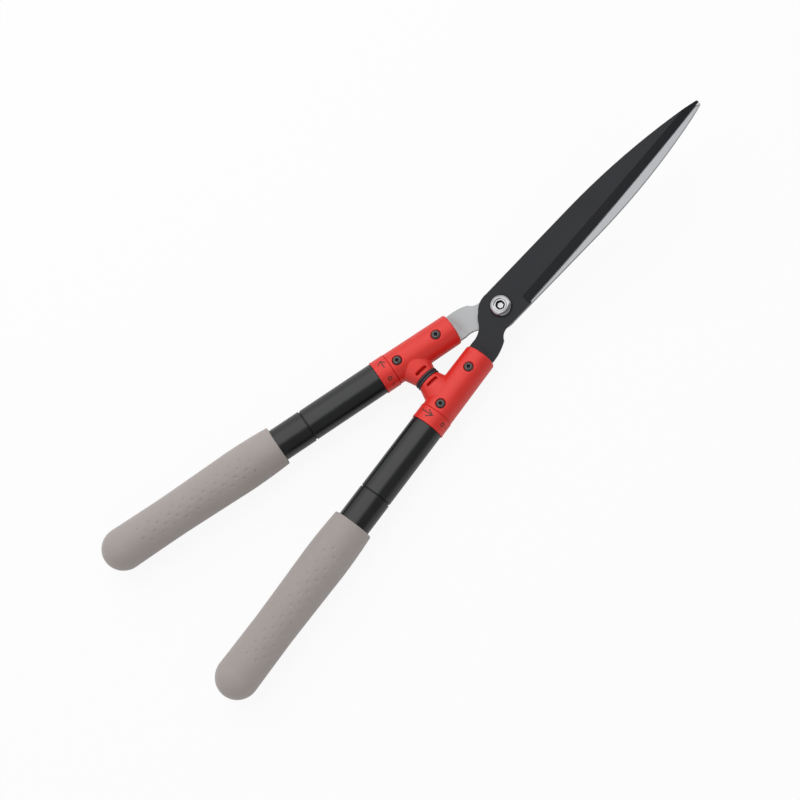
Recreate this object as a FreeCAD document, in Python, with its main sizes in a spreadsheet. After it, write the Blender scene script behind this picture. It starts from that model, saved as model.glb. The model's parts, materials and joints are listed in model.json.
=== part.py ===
import FreeCAD, Part
import math
import os
import Sketcher

# Hedge shears with two telescopic handles, lying closed on a table, in millimetres.
# +Y runs from the grips to the blade tips, +X to the right and +Z up; the handles lie level and
# the blades rise from them at the crank angle. The origin is the middle of the floor under them.

document = FreeCAD.newDocument("hedge_shears")

# Driving sizes: lengths in millimetres, angles in degrees.
SIZES = (
    # Layout of the two halves
    ("elbow_reach", 40.0),
    ("crank_angle", 11.0),
    ("handle_angle", 9.64),
    ("handle_offset", 17.2),
    # Blades
    ("blade_length", 247.0),
    ("blade_half_width", 17.5),
    ("blade_thickness", 4.0),
    ("blade_gap", 0.4),
    ("heel_reach", 20.0),
    ("heel_step", 1.5),
    ("bevel_width", 7.5),
    ("edge_land", 0.5),
    ("bend_land", 1.6),
    # Tangs, held in the housings
    ("tang_width", 25.0),
    ("tang_shoulder", 31.0),
    ("tang_tail_width", 16.0),
    ("tang_tail_length", 11.6),
    # Pivot
    ("pivot_bore", 10.0),
    ("pivot_fit", 0.05),
    ("pivot_head", 20.4),
    ("pivot_head_height", 4.6),
    ("pivot_rim", 2.0),
    ("pivot_dish", 0.8),
    ("pivot_dish_inset", 3.2),
    ("pivot_socket", 8.0),
    ("pivot_socket_depth", 2.6),
    ("pivot_tail", 3.0),
    ("friction_washer", 26.0),
    ("thrust_washer", 21.0),
    ("thrust_washer_height", 1.6),
    ("cone_washer", 18.0),
    ("cone_washer_height", 1.5),
    ("cone_washer_sheet", 0.9),
    ("pivot_nut", 17.0),
    ("pivot_nut_height", 8.0),
    ("nut_chamfer", 1.0),
    # Housings
    ("housing_front", 4.2),
    ("housing_front_radius", 14.7),
    ("housing_rear_radius", 15.2),
    ("housing_corner", 2.0),
    ("collar_land", 2.85),
    ("collar_length", 13.6),
    ("collar_radius", 15.8),
    ("collar_lip", 0.5),
    ("seam", 0.4),
    ("spigot_radius", 13.6),
    ("tube_seat", 33.0),
    ("slip_fit", 0.05),
    ("slot_clearance", 0.1),
    # Stubs and bumpers
    ("stub_reach", 52.4),
    ("stub_radius", 11.1),
    ("stub_foot_width", 14.2),
    ("stub_root", 4.0),
    ("stub_root_height", 13.6),
    ("bumper_height", 2.2),
    ("bumper_radius", 11.8),
    ("bumper_edge", 0.8),
    ("bumper_stem_radius", 5.0),
    ("bumper_stem", 9.0),
    ("stub_slot_inset", 6.9),
    ("stub_slot_length", 12.0),
    ("stub_slot_width", 2.8),
    ("stub_slot_depth", 5.6),
    # Housing screws and nuts
    ("front_screw_reach", 21.4),
    ("rear_screw_inset", 7.8),
    ("screw_radius", 2.5),
    ("screw_clearance", 0.25),
    ("screw_head_radius", 4.2),
    ("screw_head_height", 2.6),
    ("screw_socket", 3.0),
    ("screw_socket_depth", 1.7),
    ("screw_tail", 0.4),
    ("head_seat", 13.0),
    ("head_clearance", 0.35),
    ("nut_width", 8.0),
    ("nut_height", 2.7),
    ("nut_seat", 11.9),
    # Telescopic tubes
    ("inner_tube_radius", 11.5),
    ("inner_tube_wall", 1.5),
    ("inner_tube_end", 318.0),
    ("outer_tube_radius", 14.0),
    ("outer_tube_wall", 1.5),
    ("outer_tube_end", 352.0),
    ("running_fit", 0.06),
    ("handle_radius", 15.0),
    ("collar_gap", 0.3),
    ("bush_flange", 1.4),
    ("bush_length", 26.0),
    ("groove_place", 159.0),
    ("groove_width", 1.4),
    # Eccentric lock
    ("lock_flange", 3.0),
    ("lock_spigot", 24.0),
    ("lock_pin_radius", 5.5),
    ("lock_eccentric", 1.2),
    ("lock_cam_length", 15.0),
    ("lock_cam_gap", 0.3),
    ("lock_play", 0.6),
    ("lock_cap_radius", 10.5),
    ("lock_cap", 1.6),
    ("lock_screw_radius", 2.0),
    ("lock_screw_depth", 12.0),
    ("lock_screw_head_radius", 3.6),
    ("lock_screw_head", 2.4),
    # Grips
    ("core_radius", 15.2),
    ("core_rear_radius", 16.0),
    ("core_floor", 3.0),
    ("grip_front", 190.3),
    ("grip_front_radius", 18.7),
    ("grip_lip", 1.6),
    ("grip_swell", 232.0),
    ("grip_swell_radius", 20.1),
    ("grip_waist", 300.0),
    ("grip_waist_radius", 18.7),
    ("grip_dome", 351.6),
    ("grip_dome_radius", 19.2),
)

sheet = document.addObject("Spreadsheet::Sheet", "Sizes")
for row, (alias, number) in enumerate(SIZES, 1):
    sheet.set("A%d" % row, alias)
    sheet.set("B%d" % row, str(number))
    sheet.setAlias("B%d" % row, alias)
document.recompute()


class Size:
    """A sheet value, or a sum made of sheet values: its number and the words that bind it."""

    def __init__(self, number, words):
        self.number = float(number)
        self.words = words

    def __add__(self, other):
        other = as_size(other)
        return Size(self.number + other.number, "(%s + %s)" % (self.words, other.words))

    def __radd__(self, other):
        return as_size(other) + self

    def __sub__(self, other):
        other = as_size(other)
        return Size(self.number - other.number, "(%s - %s)" % (self.words, other.words))

    def __rsub__(self, other):
        return as_size(other) - self

    def __mul__(self, other):
        other = as_size(other)
        return Size(self.number * other.number, "(%s * %s)" % (self.words, other.words))

    def __rmul__(self, other):
        return as_size(other) * self

    def __truediv__(self, other):
        other = as_size(other)
        return Size(self.number / other.number, "(%s / %s)" % (self.words, other.words))

    def __neg__(self):
        return as_size(0) - self


def as_size(value):
    if isinstance(value, Size):
        return value
    return Size(value, repr(float(value)))


def cosine(angle):
    return Size(math.cos(math.radians(angle.number)), "cos(%s)" % angle.words)


def sine(angle):
    return Size(math.sin(math.radians(angle.number)), "sin(%s)" % angle.words)


def tangent(angle):
    return Size(math.tan(math.radians(angle.number)), "tan(%s)" % angle.words)


size = {alias: Size(number, "Sizes.%s" % alias) for alias, number in SIZES}
ZERO = as_size(0)
SIDES = (("left", -1), ("right", 1))
RIGHT_ANGLE = 90
HEXAGON_ANGLE = 60
# Shares of its radius from a rounded corner's edges, and from a dome's centre, to mid arc.
CORNER_SHARE = 0.293
DOME_SHARE = 0.707
nodes = []


def bind(item, name, value):
    item.setExpression(name, as_size(value).words)


def body(label, frame=FreeCAD.Placement()):
    """A body whose own frame stands at the given placement."""
    item = document.addObject("PartDesign::Body", label)
    item.Label = label
    item.Placement = frame
    return item


def node(item, label):
    """Names a finished sub-part and keeps it for the last checks."""
    item.Label = label
    nodes.append(item)
    return item


def pin(sketch, part, end, x, y):
    """Holds one point of a sketch at x, y."""
    for kind, axis, value in (("DistanceX", -2, as_size(x)), ("DistanceY", -1, as_size(y))):
        if value.words == ZERO.words:
            sketch.addConstraint(Sketcher.Constraint("PointOnObject", part, end, axis))
        else:
            index = sketch.addConstraint(
                Sketcher.Constraint(kind, -1, 1, part, end, value.number))
            bind(sketch, "Constraints[%d]" % index, value)


def vector(x, y):
    return FreeCAD.Vector(as_size(x).number, as_size(y).number, 0)


def trace(sketch, steps):
    """Draws a closed outline. A step is x, y, or x, y, mid x, mid y where an arc leads to it."""
    edges = []
    for index, start in enumerate(steps):
        end = steps[(index + 1) % len(steps)]
        first = vector(start[0], start[1])
        last = vector(end[0], end[1])
        if len(end) == 4:
            middle = vector(end[2], end[3])
            edge = sketch.addGeometry(Part.Arc(first, middle, last), False)
            point = sketch.addGeometry(Part.Point(middle), True)
            pin(sketch, point, 1, end[2], end[3])
            sketch.addConstraint(Sketcher.Constraint("PointOnObject", point, 1, edge))
        else:
            edge = sketch.addGeometry(Part.LineSegment(first, last), False)
        straight = sketch.getPoint(edge, 1).sub(first).Length
        turned_round = sketch.getPoint(edge, 2).sub(first).Length
        ends = (1, 2) if straight <= turned_round else (2, 1)
        edges.append((edge, ends))
    for index, (edge, ends) in enumerate(edges):
        after, after_ends = edges[(index + 1) % len(edges)]
        sketch.addConstraint(Sketcher.Constraint("Coincident", edge, ends[1], after, after_ends[0]))
        pin(sketch, edge, ends[0], steps[index][0], steps[index][1])


def circle(sketch, x, y, radius):
    radius = as_size(radius)
    ring = Part.Circle(vector(x, y), FreeCAD.Vector(0, 0, 1), radius.number)
    edge = sketch.addGeometry(ring, False)
    pin(sketch, edge, 3, x, y)
    index = sketch.addConstraint(Sketcher.Constraint("Radius", edge, radius.number))
    bind(sketch, "Constraints[%d]" % index, radius)


def sketch_on(owner, plane, offset=None, steps=None, circles=()):
    """A sketch on one of a body's own planes, with an outline and round holes."""
    sketch = owner.newObject("Sketcher::SketchObject", owner.Name + "_sketch")
    for feature in owner.Origin.OriginFeatures:
        if feature.Role == plane:
            sketch.AttachmentSupport = [(feature, "")]
    sketch.MapMode = "FlatFace"
    if offset is not None:
        sketch.AttachmentOffset = offset
    if steps is not None:
        trace(sketch, steps)
    for x, y, radius in circles:
        circle(sketch, x, y, radius)
    return sketch


def lifted(height, turn=0.0, x=ZERO, y=ZERO):
    """A sketch's offset: its height above its plane, its turn about the plane's normal."""
    return FreeCAD.Placement(
        FreeCAD.Vector(as_size(x).number, as_size(y).number, as_size(height).number),
        FreeCAD.Rotation(FreeCAD.Vector(0, 0, 1), turn))


def pad(owner, sketch, length):
    feature = owner.newObject("PartDesign::Pad", owner.Name + "_pad")
    feature.Profile = sketch
    bind(feature, "Length", length)
    sketch.Visibility = False
    owner.Tip = feature
    return feature


def pocket(owner, sketch, length=None, upward=False):
    """Cuts a sketch downward from its plane, or upward, or right through both ways."""
    before = volume_of(owner)
    feature = owner.newObject("PartDesign::Pocket", owner.Name + "_pocket")
    feature.Profile = sketch
    if length is None:
        feature.Type = "ThroughAll"
        feature.Midplane = True
    else:
        bind(feature, "Length", length)
        feature.Reversed = upward
    owner.Tip = feature
    check_cut(owner, before)
    return feature


def revolve(owner, sketch, axis="H_Axis"):
    feature = owner.newObject("PartDesign::Revolution", owner.Name + "_turned")
    feature.Profile = sketch
    feature.ReferenceAxis = (sketch, [axis])
    feature.Angle = 360
    owner.Tip = feature
    return feature


def groove(owner, sketch, axis="H_Axis"):
    before = volume_of(owner)
    feature = owner.newObject("PartDesign::Groove", owner.Name + "_bored")
    feature.Profile = sketch
    feature.ReferenceAxis = (sketch, [axis])
    feature.Angle = 360
    owner.Tip = feature
    check_cut(owner, before)
    return feature


def volume_of(owner):
    document.recompute()
    return owner.Shape.Volume


def check_cut(owner, before):
    if not volume_of(owner) < before:
        raise ValueError("a cut in %s removes nothing" % owner.Label)


def turned(label, frame, steps, axis="H_Axis"):
    """A turned piece: steps go along the axis and out from it, for one closed outline."""
    owner = body(label, frame)
    revolve(owner, sketch_on(owner, "XZ_Plane", steps=steps), axis)
    return owner


def tube_steps(start, end, inner, outer):
    return ((start, inner), (end, inner), (end, outer), (start, outer))


def hexagon(width):
    """The corners of a hexagon, as steps, from its width across flats."""
    corner = width / (2 * cosine(as_size(HEXAGON_ANGLE / 2)))
    steps = []
    for index in range(6):
        angle = as_size(HEXAGON_ANGLE * index)
        steps.append((corner * cosine(angle), corner * sine(angle)))
    return steps


# Frames: the elbow line lies across both handles where the tangs bend, level with their axes.
crank = size["crank_angle"]
splay = size["handle_angle"]
reach_ahead = (size["elbow_reach"] + size["blade_length"]) * cosine(crank)
reach_behind = size["grip_dome"] * cosine(splay) + size["grip_dome_radius"]
elbow_y = (reach_behind - reach_ahead) / 2
axis_height = size["grip_swell_radius"]
elbow_frame = FreeCAD.Placement(
    FreeCAD.Vector(0, elbow_y.number, axis_height.number), FreeCAD.Rotation())
# Places along a handle's axis, back from the elbow: the stub, the collar and the two screws.
stub_axis = size["stub_reach"] / cosine(splay)
collar_front = stub_axis + size["stub_foot_width"] + size["collar_land"]
collar_rear = collar_front + size["collar_length"]
rear_screw = collar_front - size["rear_screw_inset"]
screw_reaches = (size["front_screw_reach"], rear_screw)
tilt = FreeCAD.Rotation(FreeCAD.Vector(1, 0, 0), crank.number)
pivot_frame = FreeCAD.Placement(
    elbow_frame.Base + tilt.multVec(FreeCAD.Vector(0, size["elbow_reach"].number, 0)), tilt)


def handle_frame(side):
    """Local X runs back along the handle's axis from the elbow, Z up."""
    base = elbow_frame.Base + FreeCAD.Vector(side * size["handle_offset"].number, 0, 0)
    turn = FreeCAD.Rotation(FreeCAD.Vector(0, 0, 1), side * splay.number - RIGHT_ANGLE)
    return FreeCAD.Placement(base, turn)


# Blades: each is one bent plate, the right tang's blade on top and its mirror image below.
# The neck's points are shares of the blade's half width and of the elbow's reach.
OUTER_NECK_SHARES = ((1.35, -0.505, 1.577, -0.725), (0.992, -0.23, 1.088, -0.402))
INNER_NECK_SHARES = ((-0.986, -0.025), (-0.62, -0.452, -0.905, -0.28),
                     (-0.097, -0.655, -0.36, -0.576))
INNER_HOLLOW_SHARES = (0.131, -0.785)
HEEL_SHARE = 0.985
# The blade's points are shares of its half width and of its length.
EDGE_SHARES = (0.015, 0.984, 0.454, 0.64)
TIP_SHARES = (-0.133, 0.9965, -0.05, 1.0)
SPINE_SHARES = (-1.0, 0.42, -0.7526, 0.729)
RIDGE_SHARES = (-0.285, 0.955, 0.042, 0.607)
EDGE_AHEAD_SHARE = -0.07
RIDGE_AHEAD_SHARE = -0.24


def shared(shares, across, along, side):
    """Turns shares into a step: x by the width across, y by the length along."""
    step = []
    for index, share in enumerate(shares):
        step.append(side * share * across if index % 2 == 0 else share * along)
    return tuple(step)


def blade_steps(side):
    """The outline in the blade's plane, from the elbow round the tip and back."""
    half = size["blade_half_width"]
    reach = size["elbow_reach"]
    tang_half = size["tang_width"] / (2 * cosine(splay))
    outer_x = side * (size["handle_offset"] + tang_half)
    inner_x = side * (size["handle_offset"] - tang_half)
    above = size["bend_land"] / 2 - reach
    below = -size["bend_land"] / 2 - reach
    heel = size["heel_reach"]
    steps = [(outer_x, below), (outer_x, above)]
    steps += [shared(shares, half, reach, side) for shares in OUTER_NECK_SHARES]
    steps.append((side * HEEL_SHARE * half, heel))
    steps.append((side * (HEEL_SHARE * half - size["heel_step"]), heel + size["heel_step"]))
    steps.append(shared(EDGE_SHARES, half, size["blade_length"], side))
    steps.append(shared(TIP_SHARES, half, size["blade_length"], side))
    steps.append(shared(SPINE_SHARES, half, size["blade_length"], side))
    steps += [shared(shares, half, reach, side) for shares in INNER_NECK_SHARES]
    steps.append((inner_x, above) + shared(INNER_HOLLOW_SHARES, half, reach, side))
    steps.append((inner_x, below))
    return steps


def along_handle(side, reach, lateral):
    """A point of the level plane at the elbow, by its reach along the handle's axis."""
    x = side * (size["handle_offset"] + reach * sine(splay)) + lateral * cosine(splay)
    y = side * lateral * sine(splay) - reach * cosine(splay)
    return x, y


def tang_steps(side):
    """The outline of the level tang behind the elbow, with its narrow tail."""
    wide = size["tang_width"] / 2
    narrow = size["tang_tail_width"] / 2
    tang_half = wide / cosine(splay)
    land = size["bend_land"] / 2
    steps = [(side * size["handle_offset"] + tang_half, land)]
    steps.append((side * size["handle_offset"] + tang_half, -land))
    steps.append(along_handle(side, size["tang_shoulder"], wide))
    steps.append(along_handle(side, size["tang_shoulder"], narrow))
    steps.append(along_handle(side, rear_screw + size["tang_tail_length"], narrow))
    steps.append(along_handle(side, rear_screw + size["tang_tail_length"], -narrow))
    steps.append(along_handle(side, size["tang_shoulder"], -narrow))
    steps.append(along_handle(side, size["tang_shoulder"], -wide))
    steps.append((side * size["handle_offset"] - tang_half, -land))
    steps.append((side * size["handle_offset"] - tang_half, land))
    return steps


def plate(label, steps, circles, low, hinge_y, way):
    """A flat plate from low upwards, mitred at its end towards the bend."""
    owner = body(label)
    flat = sketch_on(owner, "XY_Plane", lifted(low), steps, circles)
    bind(flat, "AttachmentOffset.Base.z", low)
    pad(owner, flat, size["blade_thickness"])
    high = low + size["blade_thickness"]
    lean = tangent(crank / 2)
    over = hinge_y - way * size["bend_land"]
    lower = low - size["bend_land"]
    upper = high + size["bend_land"]
    mitre = ((hinge_y + way * lower * lean, lower), (hinge_y + way * upper * lean, upper),
             (over, upper), (over, lower))
    pocket(owner, sketch_on(owner, "YZ_Plane", steps=mitre))
    return owner


def bevel(owner, side, edge_level, ridge_level):
    """Grinds the long edge from a ridge on the outer face down to a thin land."""
    before = volume_of(owner)
    half = size["blade_half_width"]
    length = size["blade_length"]
    width = size["bevel_width"]
    heel = size["heel_reach"]
    step = size["heel_step"]
    edge_x = HEEL_SHARE * half - step
    outside = side * (half + width)
    ahead = length + width
    levels = ((edge_level, side * edge_x, heel + step, EDGE_SHARES, EDGE_AHEAD_SHARE),
              (ridge_level, side * (edge_x - width), heel - step,
               RIDGE_SHARES, RIDGE_AHEAD_SHARE))
    sections = []
    for level, heel_x, heel_y, shares, ahead_share in levels:
        section = sketch_on(owner, "XY_Plane", lifted(level), (
            (heel_x, heel_y), shared(shares, half, length, side),
            (side * ahead_share * half, ahead), (outside, ahead), (outside, heel_y)))
        bind(section, "AttachmentOffset.Base.z", level)
        sections.append(section)
    feature = owner.newObject("PartDesign::SubtractiveLoft", owner.Name + "_bevel")
    feature.Profile = sections[0]
    feature.Sections = sections[1:]
    feature.Ruled = True
    owner.Tip = feature
    check_cut(owner, before)


def blade(label, side, low, bore):
    """Blade plate and tang plate, fused at the mitre."""
    hole = ((ZERO, ZERO, bore),)
    flat = plate(label + "_flat", blade_steps(side), hole, low, -size["elbow_reach"], 1)
    high = low + size["blade_thickness"]
    if side > 0:
        bevel(flat, side, low + size["edge_land"], high)
    else:
        bevel(flat, side, high - size["edge_land"], low)
    holes = []
    for reach in screw_reaches:
        x, y = along_handle(side, reach, ZERO)
        holes.append((x, y, size["screw_radius"] + size["screw_clearance"]))
    tang = plate(label + "_tang", tang_steps(side), holes, low, ZERO, -1)
    flat.Placement = pivot_frame
    tang.Placement = elbow_frame
    fused = document.addObject("Part::Fuse", label)
    fused.Base = flat
    fused.Tool = tang
    fused.Refine = True
    return node(fused, label)


half_gap = size["blade_gap"] / 2
bolt_radius = size["pivot_bore"] / 2
blade("upper_blade", 1, half_gap, bolt_radius + size["slip_fit"])
blade("lower_blade", -1, -half_gap - size["blade_thickness"], bolt_radius + size["pivot_fit"])

# Pivot: a chromed bolt with a dished head and a hexagon socket, held by a nut from below.
top = half_gap + size["blade_thickness"]
bottom = -top
washer_low = bottom - size["thrust_washer_height"]
cone_low = washer_low - size["cone_washer_height"]
nut_low = cone_low - size["pivot_nut_height"]
head_radius = size["pivot_head"] / 2
head_top = top + size["pivot_head_height"]
socket_floor = head_top - size["pivot_dish"] - size["pivot_socket_depth"]

bolt = turned("pivot_bolt_turned", pivot_frame, (
    (ZERO, nut_low - size["pivot_tail"]),
    (bolt_radius - size["nut_chamfer"], nut_low - size["pivot_tail"]),
    (bolt_radius, nut_low - size["pivot_tail"] + size["nut_chamfer"]),
    (bolt_radius, top),
    (head_radius, top),
    (head_radius, head_top - size["pivot_rim"]),
    (head_radius - size["pivot_rim"], head_top,
     head_radius - CORNER_SHARE * size["pivot_rim"], head_top - CORNER_SHARE * size["pivot_rim"]),
    (head_radius - size["pivot_dish_inset"], head_top - size["pivot_dish"]),
    (ZERO, head_top - size["pivot_dish"])), "V_Axis")
pocket(bolt, sketch_on(bolt, "XY_Plane", lifted(head_top - size["pivot_dish"]),
                       hexagon(size["pivot_socket"])), size["pivot_socket_depth"])
node(bolt, "pivot_bolt")

ring_inner = bolt_radius + size["pivot_fit"]
node(turned("friction_washer", pivot_frame, (
    (ring_inner, -half_gap), (size["friction_washer"] / 2, -half_gap),
    (size["friction_washer"] / 2, half_gap), (ring_inner, half_gap)), "V_Axis"),
    "friction_washer")
node(turned("thrust_washer", pivot_frame, (
    (ring_inner, washer_low), (size["thrust_washer"] / 2, washer_low),
    (size["thrust_washer"] / 2, bottom), (ring_inner, bottom)), "V_Axis"),
    "thrust_washer")
cone_rise = size["cone_washer_height"] - size["cone_washer_sheet"]
node(turned("cone_washer", pivot_frame, (
    (ring_inner, cone_low), (size["cone_washer"] / 2, cone_low + cone_rise),
    (size["cone_washer"] / 2, washer_low),
    (ring_inner, cone_low + size["cone_washer_sheet"])), "V_Axis"), "cone_washer")

nut = body("pivot_nut_hex", pivot_frame)
pad(nut, sketch_on(nut, "XY_Plane", lifted(nut_low), hexagon(size["pivot_nut"]),
                   ((ZERO, ZERO, ring_inner),)), size["pivot_nut_height"])
node(nut, "pivot_nut")

# Handles: two mirror images, each with its own tree of housing, tubes, lock and grip.
stub_length = size["handle_offset"] + size["stub_reach"] * tangent(splay)
stub_end = stub_length - size["bumper_height"]
bore_radius = size["inner_tube_radius"] + size["slip_fit"]
# The stub's side arcs have this share of its height as their radius at the root.
STUB_SIDE_SHARE = 0.75


def stub_turn(side):
    return -side * (RIGHT_ANGLE + splay.number)


def stub_offset(side, height=ZERO):
    """A sketch laid in the level plane: its X runs along the stub towards the other half."""
    return lifted(height, stub_turn(side), stub_axis)


def stub_cut(side, reach):
    """A sketch set square across the stub, at its reach from the handle's axis."""
    turn = FreeCAD.Rotation(FreeCAD.Vector(0, 1, 0), stub_turn(side))
    ahead = turn.multVec(FreeCAD.Vector(0, 0, reach.number))
    return FreeCAD.Placement(FreeCAD.Vector(0, 0, stub_axis.number) + ahead, turn)


def oval(width, height, side_radius):
    """A closed outline of four arcs that run into each other, from its half width and height."""
    inset = width - side_radius
    crown_radius = (inset * inset + height * height - side_radius * side_radius) / (
        2 * (height - side_radius))
    x = inset + side_radius * inset / (crown_radius - side_radius)
    y = side_radius * (crown_radius - height) / (crown_radius - side_radius)
    return ((x, y, width, ZERO), (-x, y, ZERO, height),
            (-x, -y, -width, ZERO), (x, -y, ZERO, -height))


def stub(owner, side):
    """The conical stub: wide and flat where it leaves the round body, round at its end."""
    radius = size["stub_radius"]
    height = size["stub_root_height"]
    foot_reach = size["housing_rear_radius"]
    flare = (size["stub_foot_width"] - radius) / (stub_end - foot_reach)
    root_width = size["stub_foot_width"] + flare * (foot_reach - size["stub_root"])
    diagonal = DOME_SHARE * radius
    sections = (
        sketch_on(owner, "YZ_Plane", stub_cut(side, size["stub_root"]),
                  oval(root_width, height, STUB_SIDE_SHARE * height)),
        sketch_on(owner, "YZ_Plane", stub_cut(side, stub_end), (
            (diagonal, diagonal, radius, ZERO), (-diagonal, diagonal, ZERO, radius),
            (-diagonal, -diagonal, -radius, ZERO), (diagonal, -diagonal, ZERO, -radius))))
    feature = owner.newObject("PartDesign::AdditiveLoft", owner.Name + "_stub")
    feature.Profile = sections[0]
    feature.Sections = [sections[1]]
    feature.Ruled = True
    owner.Tip = feature


def housing(name, side, slot_low):
    """Moulded shell: a round body on the tang, a spigot for the collar and a conical stub."""
    owner = body(name, handle_frame(side))
    front = size["housing_front"]
    corner = size["housing_corner"]
    nose = size["housing_front_radius"]
    shoulder = collar_front - size["seam"]
    revolve(owner, sketch_on(owner, "XZ_Plane", steps=(
        (front, ZERO), (front, nose - corner),
        (front + corner, nose, front + CORNER_SHARE * corner, nose - CORNER_SHARE * corner),
        (shoulder, size["housing_rear_radius"]),
        (shoulder, size["spigot_radius"]),
        (collar_rear, size["spigot_radius"]),
        (collar_rear, ZERO))))
    stub(owner, side)
    groove(owner, sketch_on(owner, "XZ_Plane", steps=(
        (size["tube_seat"], ZERO), (size["tube_seat"], bore_radius),
        (collar_rear + size["seam"], bore_radius),
        (collar_rear + size["seam"], ZERO))))
    groove(owner, sketch_on(owner, "XY_Plane", stub_offset(side), (
        (stub_end - size["bumper_stem"], ZERO),
        (stub_end - size["bumper_stem"], size["bumper_stem_radius"] + size["slip_fit"]),
        (stub_length, size["bumper_stem_radius"] + size["slip_fit"]),
        (stub_length, ZERO))))
    wide = size["tang_width"] / 2 + size["slot_clearance"]
    slot_top = slot_low + size["blade_thickness"] + size["slot_clearance"]
    pocket(owner, sketch_on(owner, "XY_Plane", lifted(slot_top), (
        (ZERO, -wide), (size["tube_seat"] + corner, -wide),
        (size["tube_seat"] + corner, wide), (ZERO, wide))),
        size["blade_thickness"] + 2 * size["slot_clearance"])
    slot_x = stub_length - size["stub_slot_inset"]
    slot_half = size["stub_slot_width"] / 2
    slot_run = size["stub_slot_length"] / 2 - slot_half
    pocket(owner, sketch_on(owner, "XY_Plane",
                            stub_offset(side, size["stub_radius"] + slot_half), (
        (slot_x - slot_half, -slot_run),
        (slot_x + slot_half, -slot_run, slot_x, -slot_run - slot_half),
        (slot_x + slot_half, slot_run),
        (slot_x - slot_half, slot_run, slot_x, slot_run + slot_half))),
        size["stub_slot_depth"] + slot_half)
    shank = size["screw_radius"] + size["screw_clearance"]
    pocket(owner, sketch_on(owner, "XY_Plane",
                            circles=[(place, ZERO, shank) for place in screw_reaches]))
    seat = size["screw_head_radius"] + size["head_clearance"]
    crown = size["housing_rear_radius"] + corner
    pocket(owner, sketch_on(owner, "XY_Plane", lifted(crown),
                            circles=[(place, ZERO, seat) for place in screw_reaches]),
           crown - size["head_seat"])
    for place in screw_reaches:
        steps = [(place + x, y) for x, y in hexagon(size["nut_width"] + size["head_clearance"])]
        pocket(owner, sketch_on(owner, "XY_Plane", lifted(-crown), steps),
               crown - size["nut_seat"], True)
    return node(owner, name)


def bumper(name, side):
    """Rubber buffer: a disc that meets its twin, on a plug in the stub."""
    owner = body(name, handle_frame(side))
    edge = size["bumper_edge"]
    face = stub_length
    rim = size["bumper_radius"]
    revolve(owner, sketch_on(owner, "XY_Plane", stub_offset(side), (
        (stub_end - size["bumper_stem"], ZERO),
        (stub_end - size["bumper_stem"], size["bumper_stem_radius"]),
        (stub_end, size["bumper_stem_radius"]),
        (stub_end, rim), (face - edge, rim),
        (face, rim - edge, face - CORNER_SHARE * edge, rim - CORNER_SHARE * edge),
        (face, ZERO))))
    return node(owner, name)


def fasteners(name, side, make):
    """Two like fasteners, one at each screw's place, kept as one node."""
    parts = []
    for index, reach in enumerate(screw_reaches):
        owner = make("%s_%d" % (name, index))
        owner.Placement = handle_frame(side).multiply(
            FreeCAD.Placement(FreeCAD.Vector(reach.number, 0, 0), FreeCAD.Rotation()))
        parts.append(owner)
    group = document.addObject("Part::Compound", name)
    group.Links = parts
    return node(group, name)


# A screw head's flat top, its upright side and the middle of its round, as shares of its
# radius and height; the same round on the lock's screw.
SCREW_FLAT_SHARE = 0.55
SCREW_SIDE_SHARE = 0.2
SCREW_ROUND_SHARES = (0.86, 0.71)
LOCK_ROUND_SHARES = (0.82, 0.85)


def housing_screw(label):
    """Button head screw with a hexagon socket, through housing and tang."""
    seat = size["head_seat"]
    height = size["screw_head_height"]
    crown = seat + height
    radius = size["screw_head_radius"]
    round_radius, round_height = SCREW_ROUND_SHARES
    owner = turned(label, FreeCAD.Placement(), (
        (ZERO, -size["nut_seat"] - size["nut_height"] - size["screw_tail"]),
        (size["screw_radius"], -size["nut_seat"] - size["nut_height"] - size["screw_tail"]),
        (size["screw_radius"], seat), (radius, seat),
        (radius, seat + SCREW_SIDE_SHARE * height),
        (SCREW_FLAT_SHARE * radius, crown, round_radius * radius, seat + round_height * height),
        (ZERO, crown)), "V_Axis")
    pocket(owner, sketch_on(owner, "XY_Plane", lifted(crown), hexagon(size["screw_socket"])),
           size["screw_socket_depth"])
    return owner


def housing_nut(label):
    owner = body(label)
    low = -size["nut_seat"] - size["nut_height"]
    pad(owner, sketch_on(owner, "XY_Plane", lifted(low), hexagon(size["nut_width"]),
                         ((ZERO, ZERO, size["screw_radius"] + size["slip_fit"]),)),
        size["nut_height"])
    return owner


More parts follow.
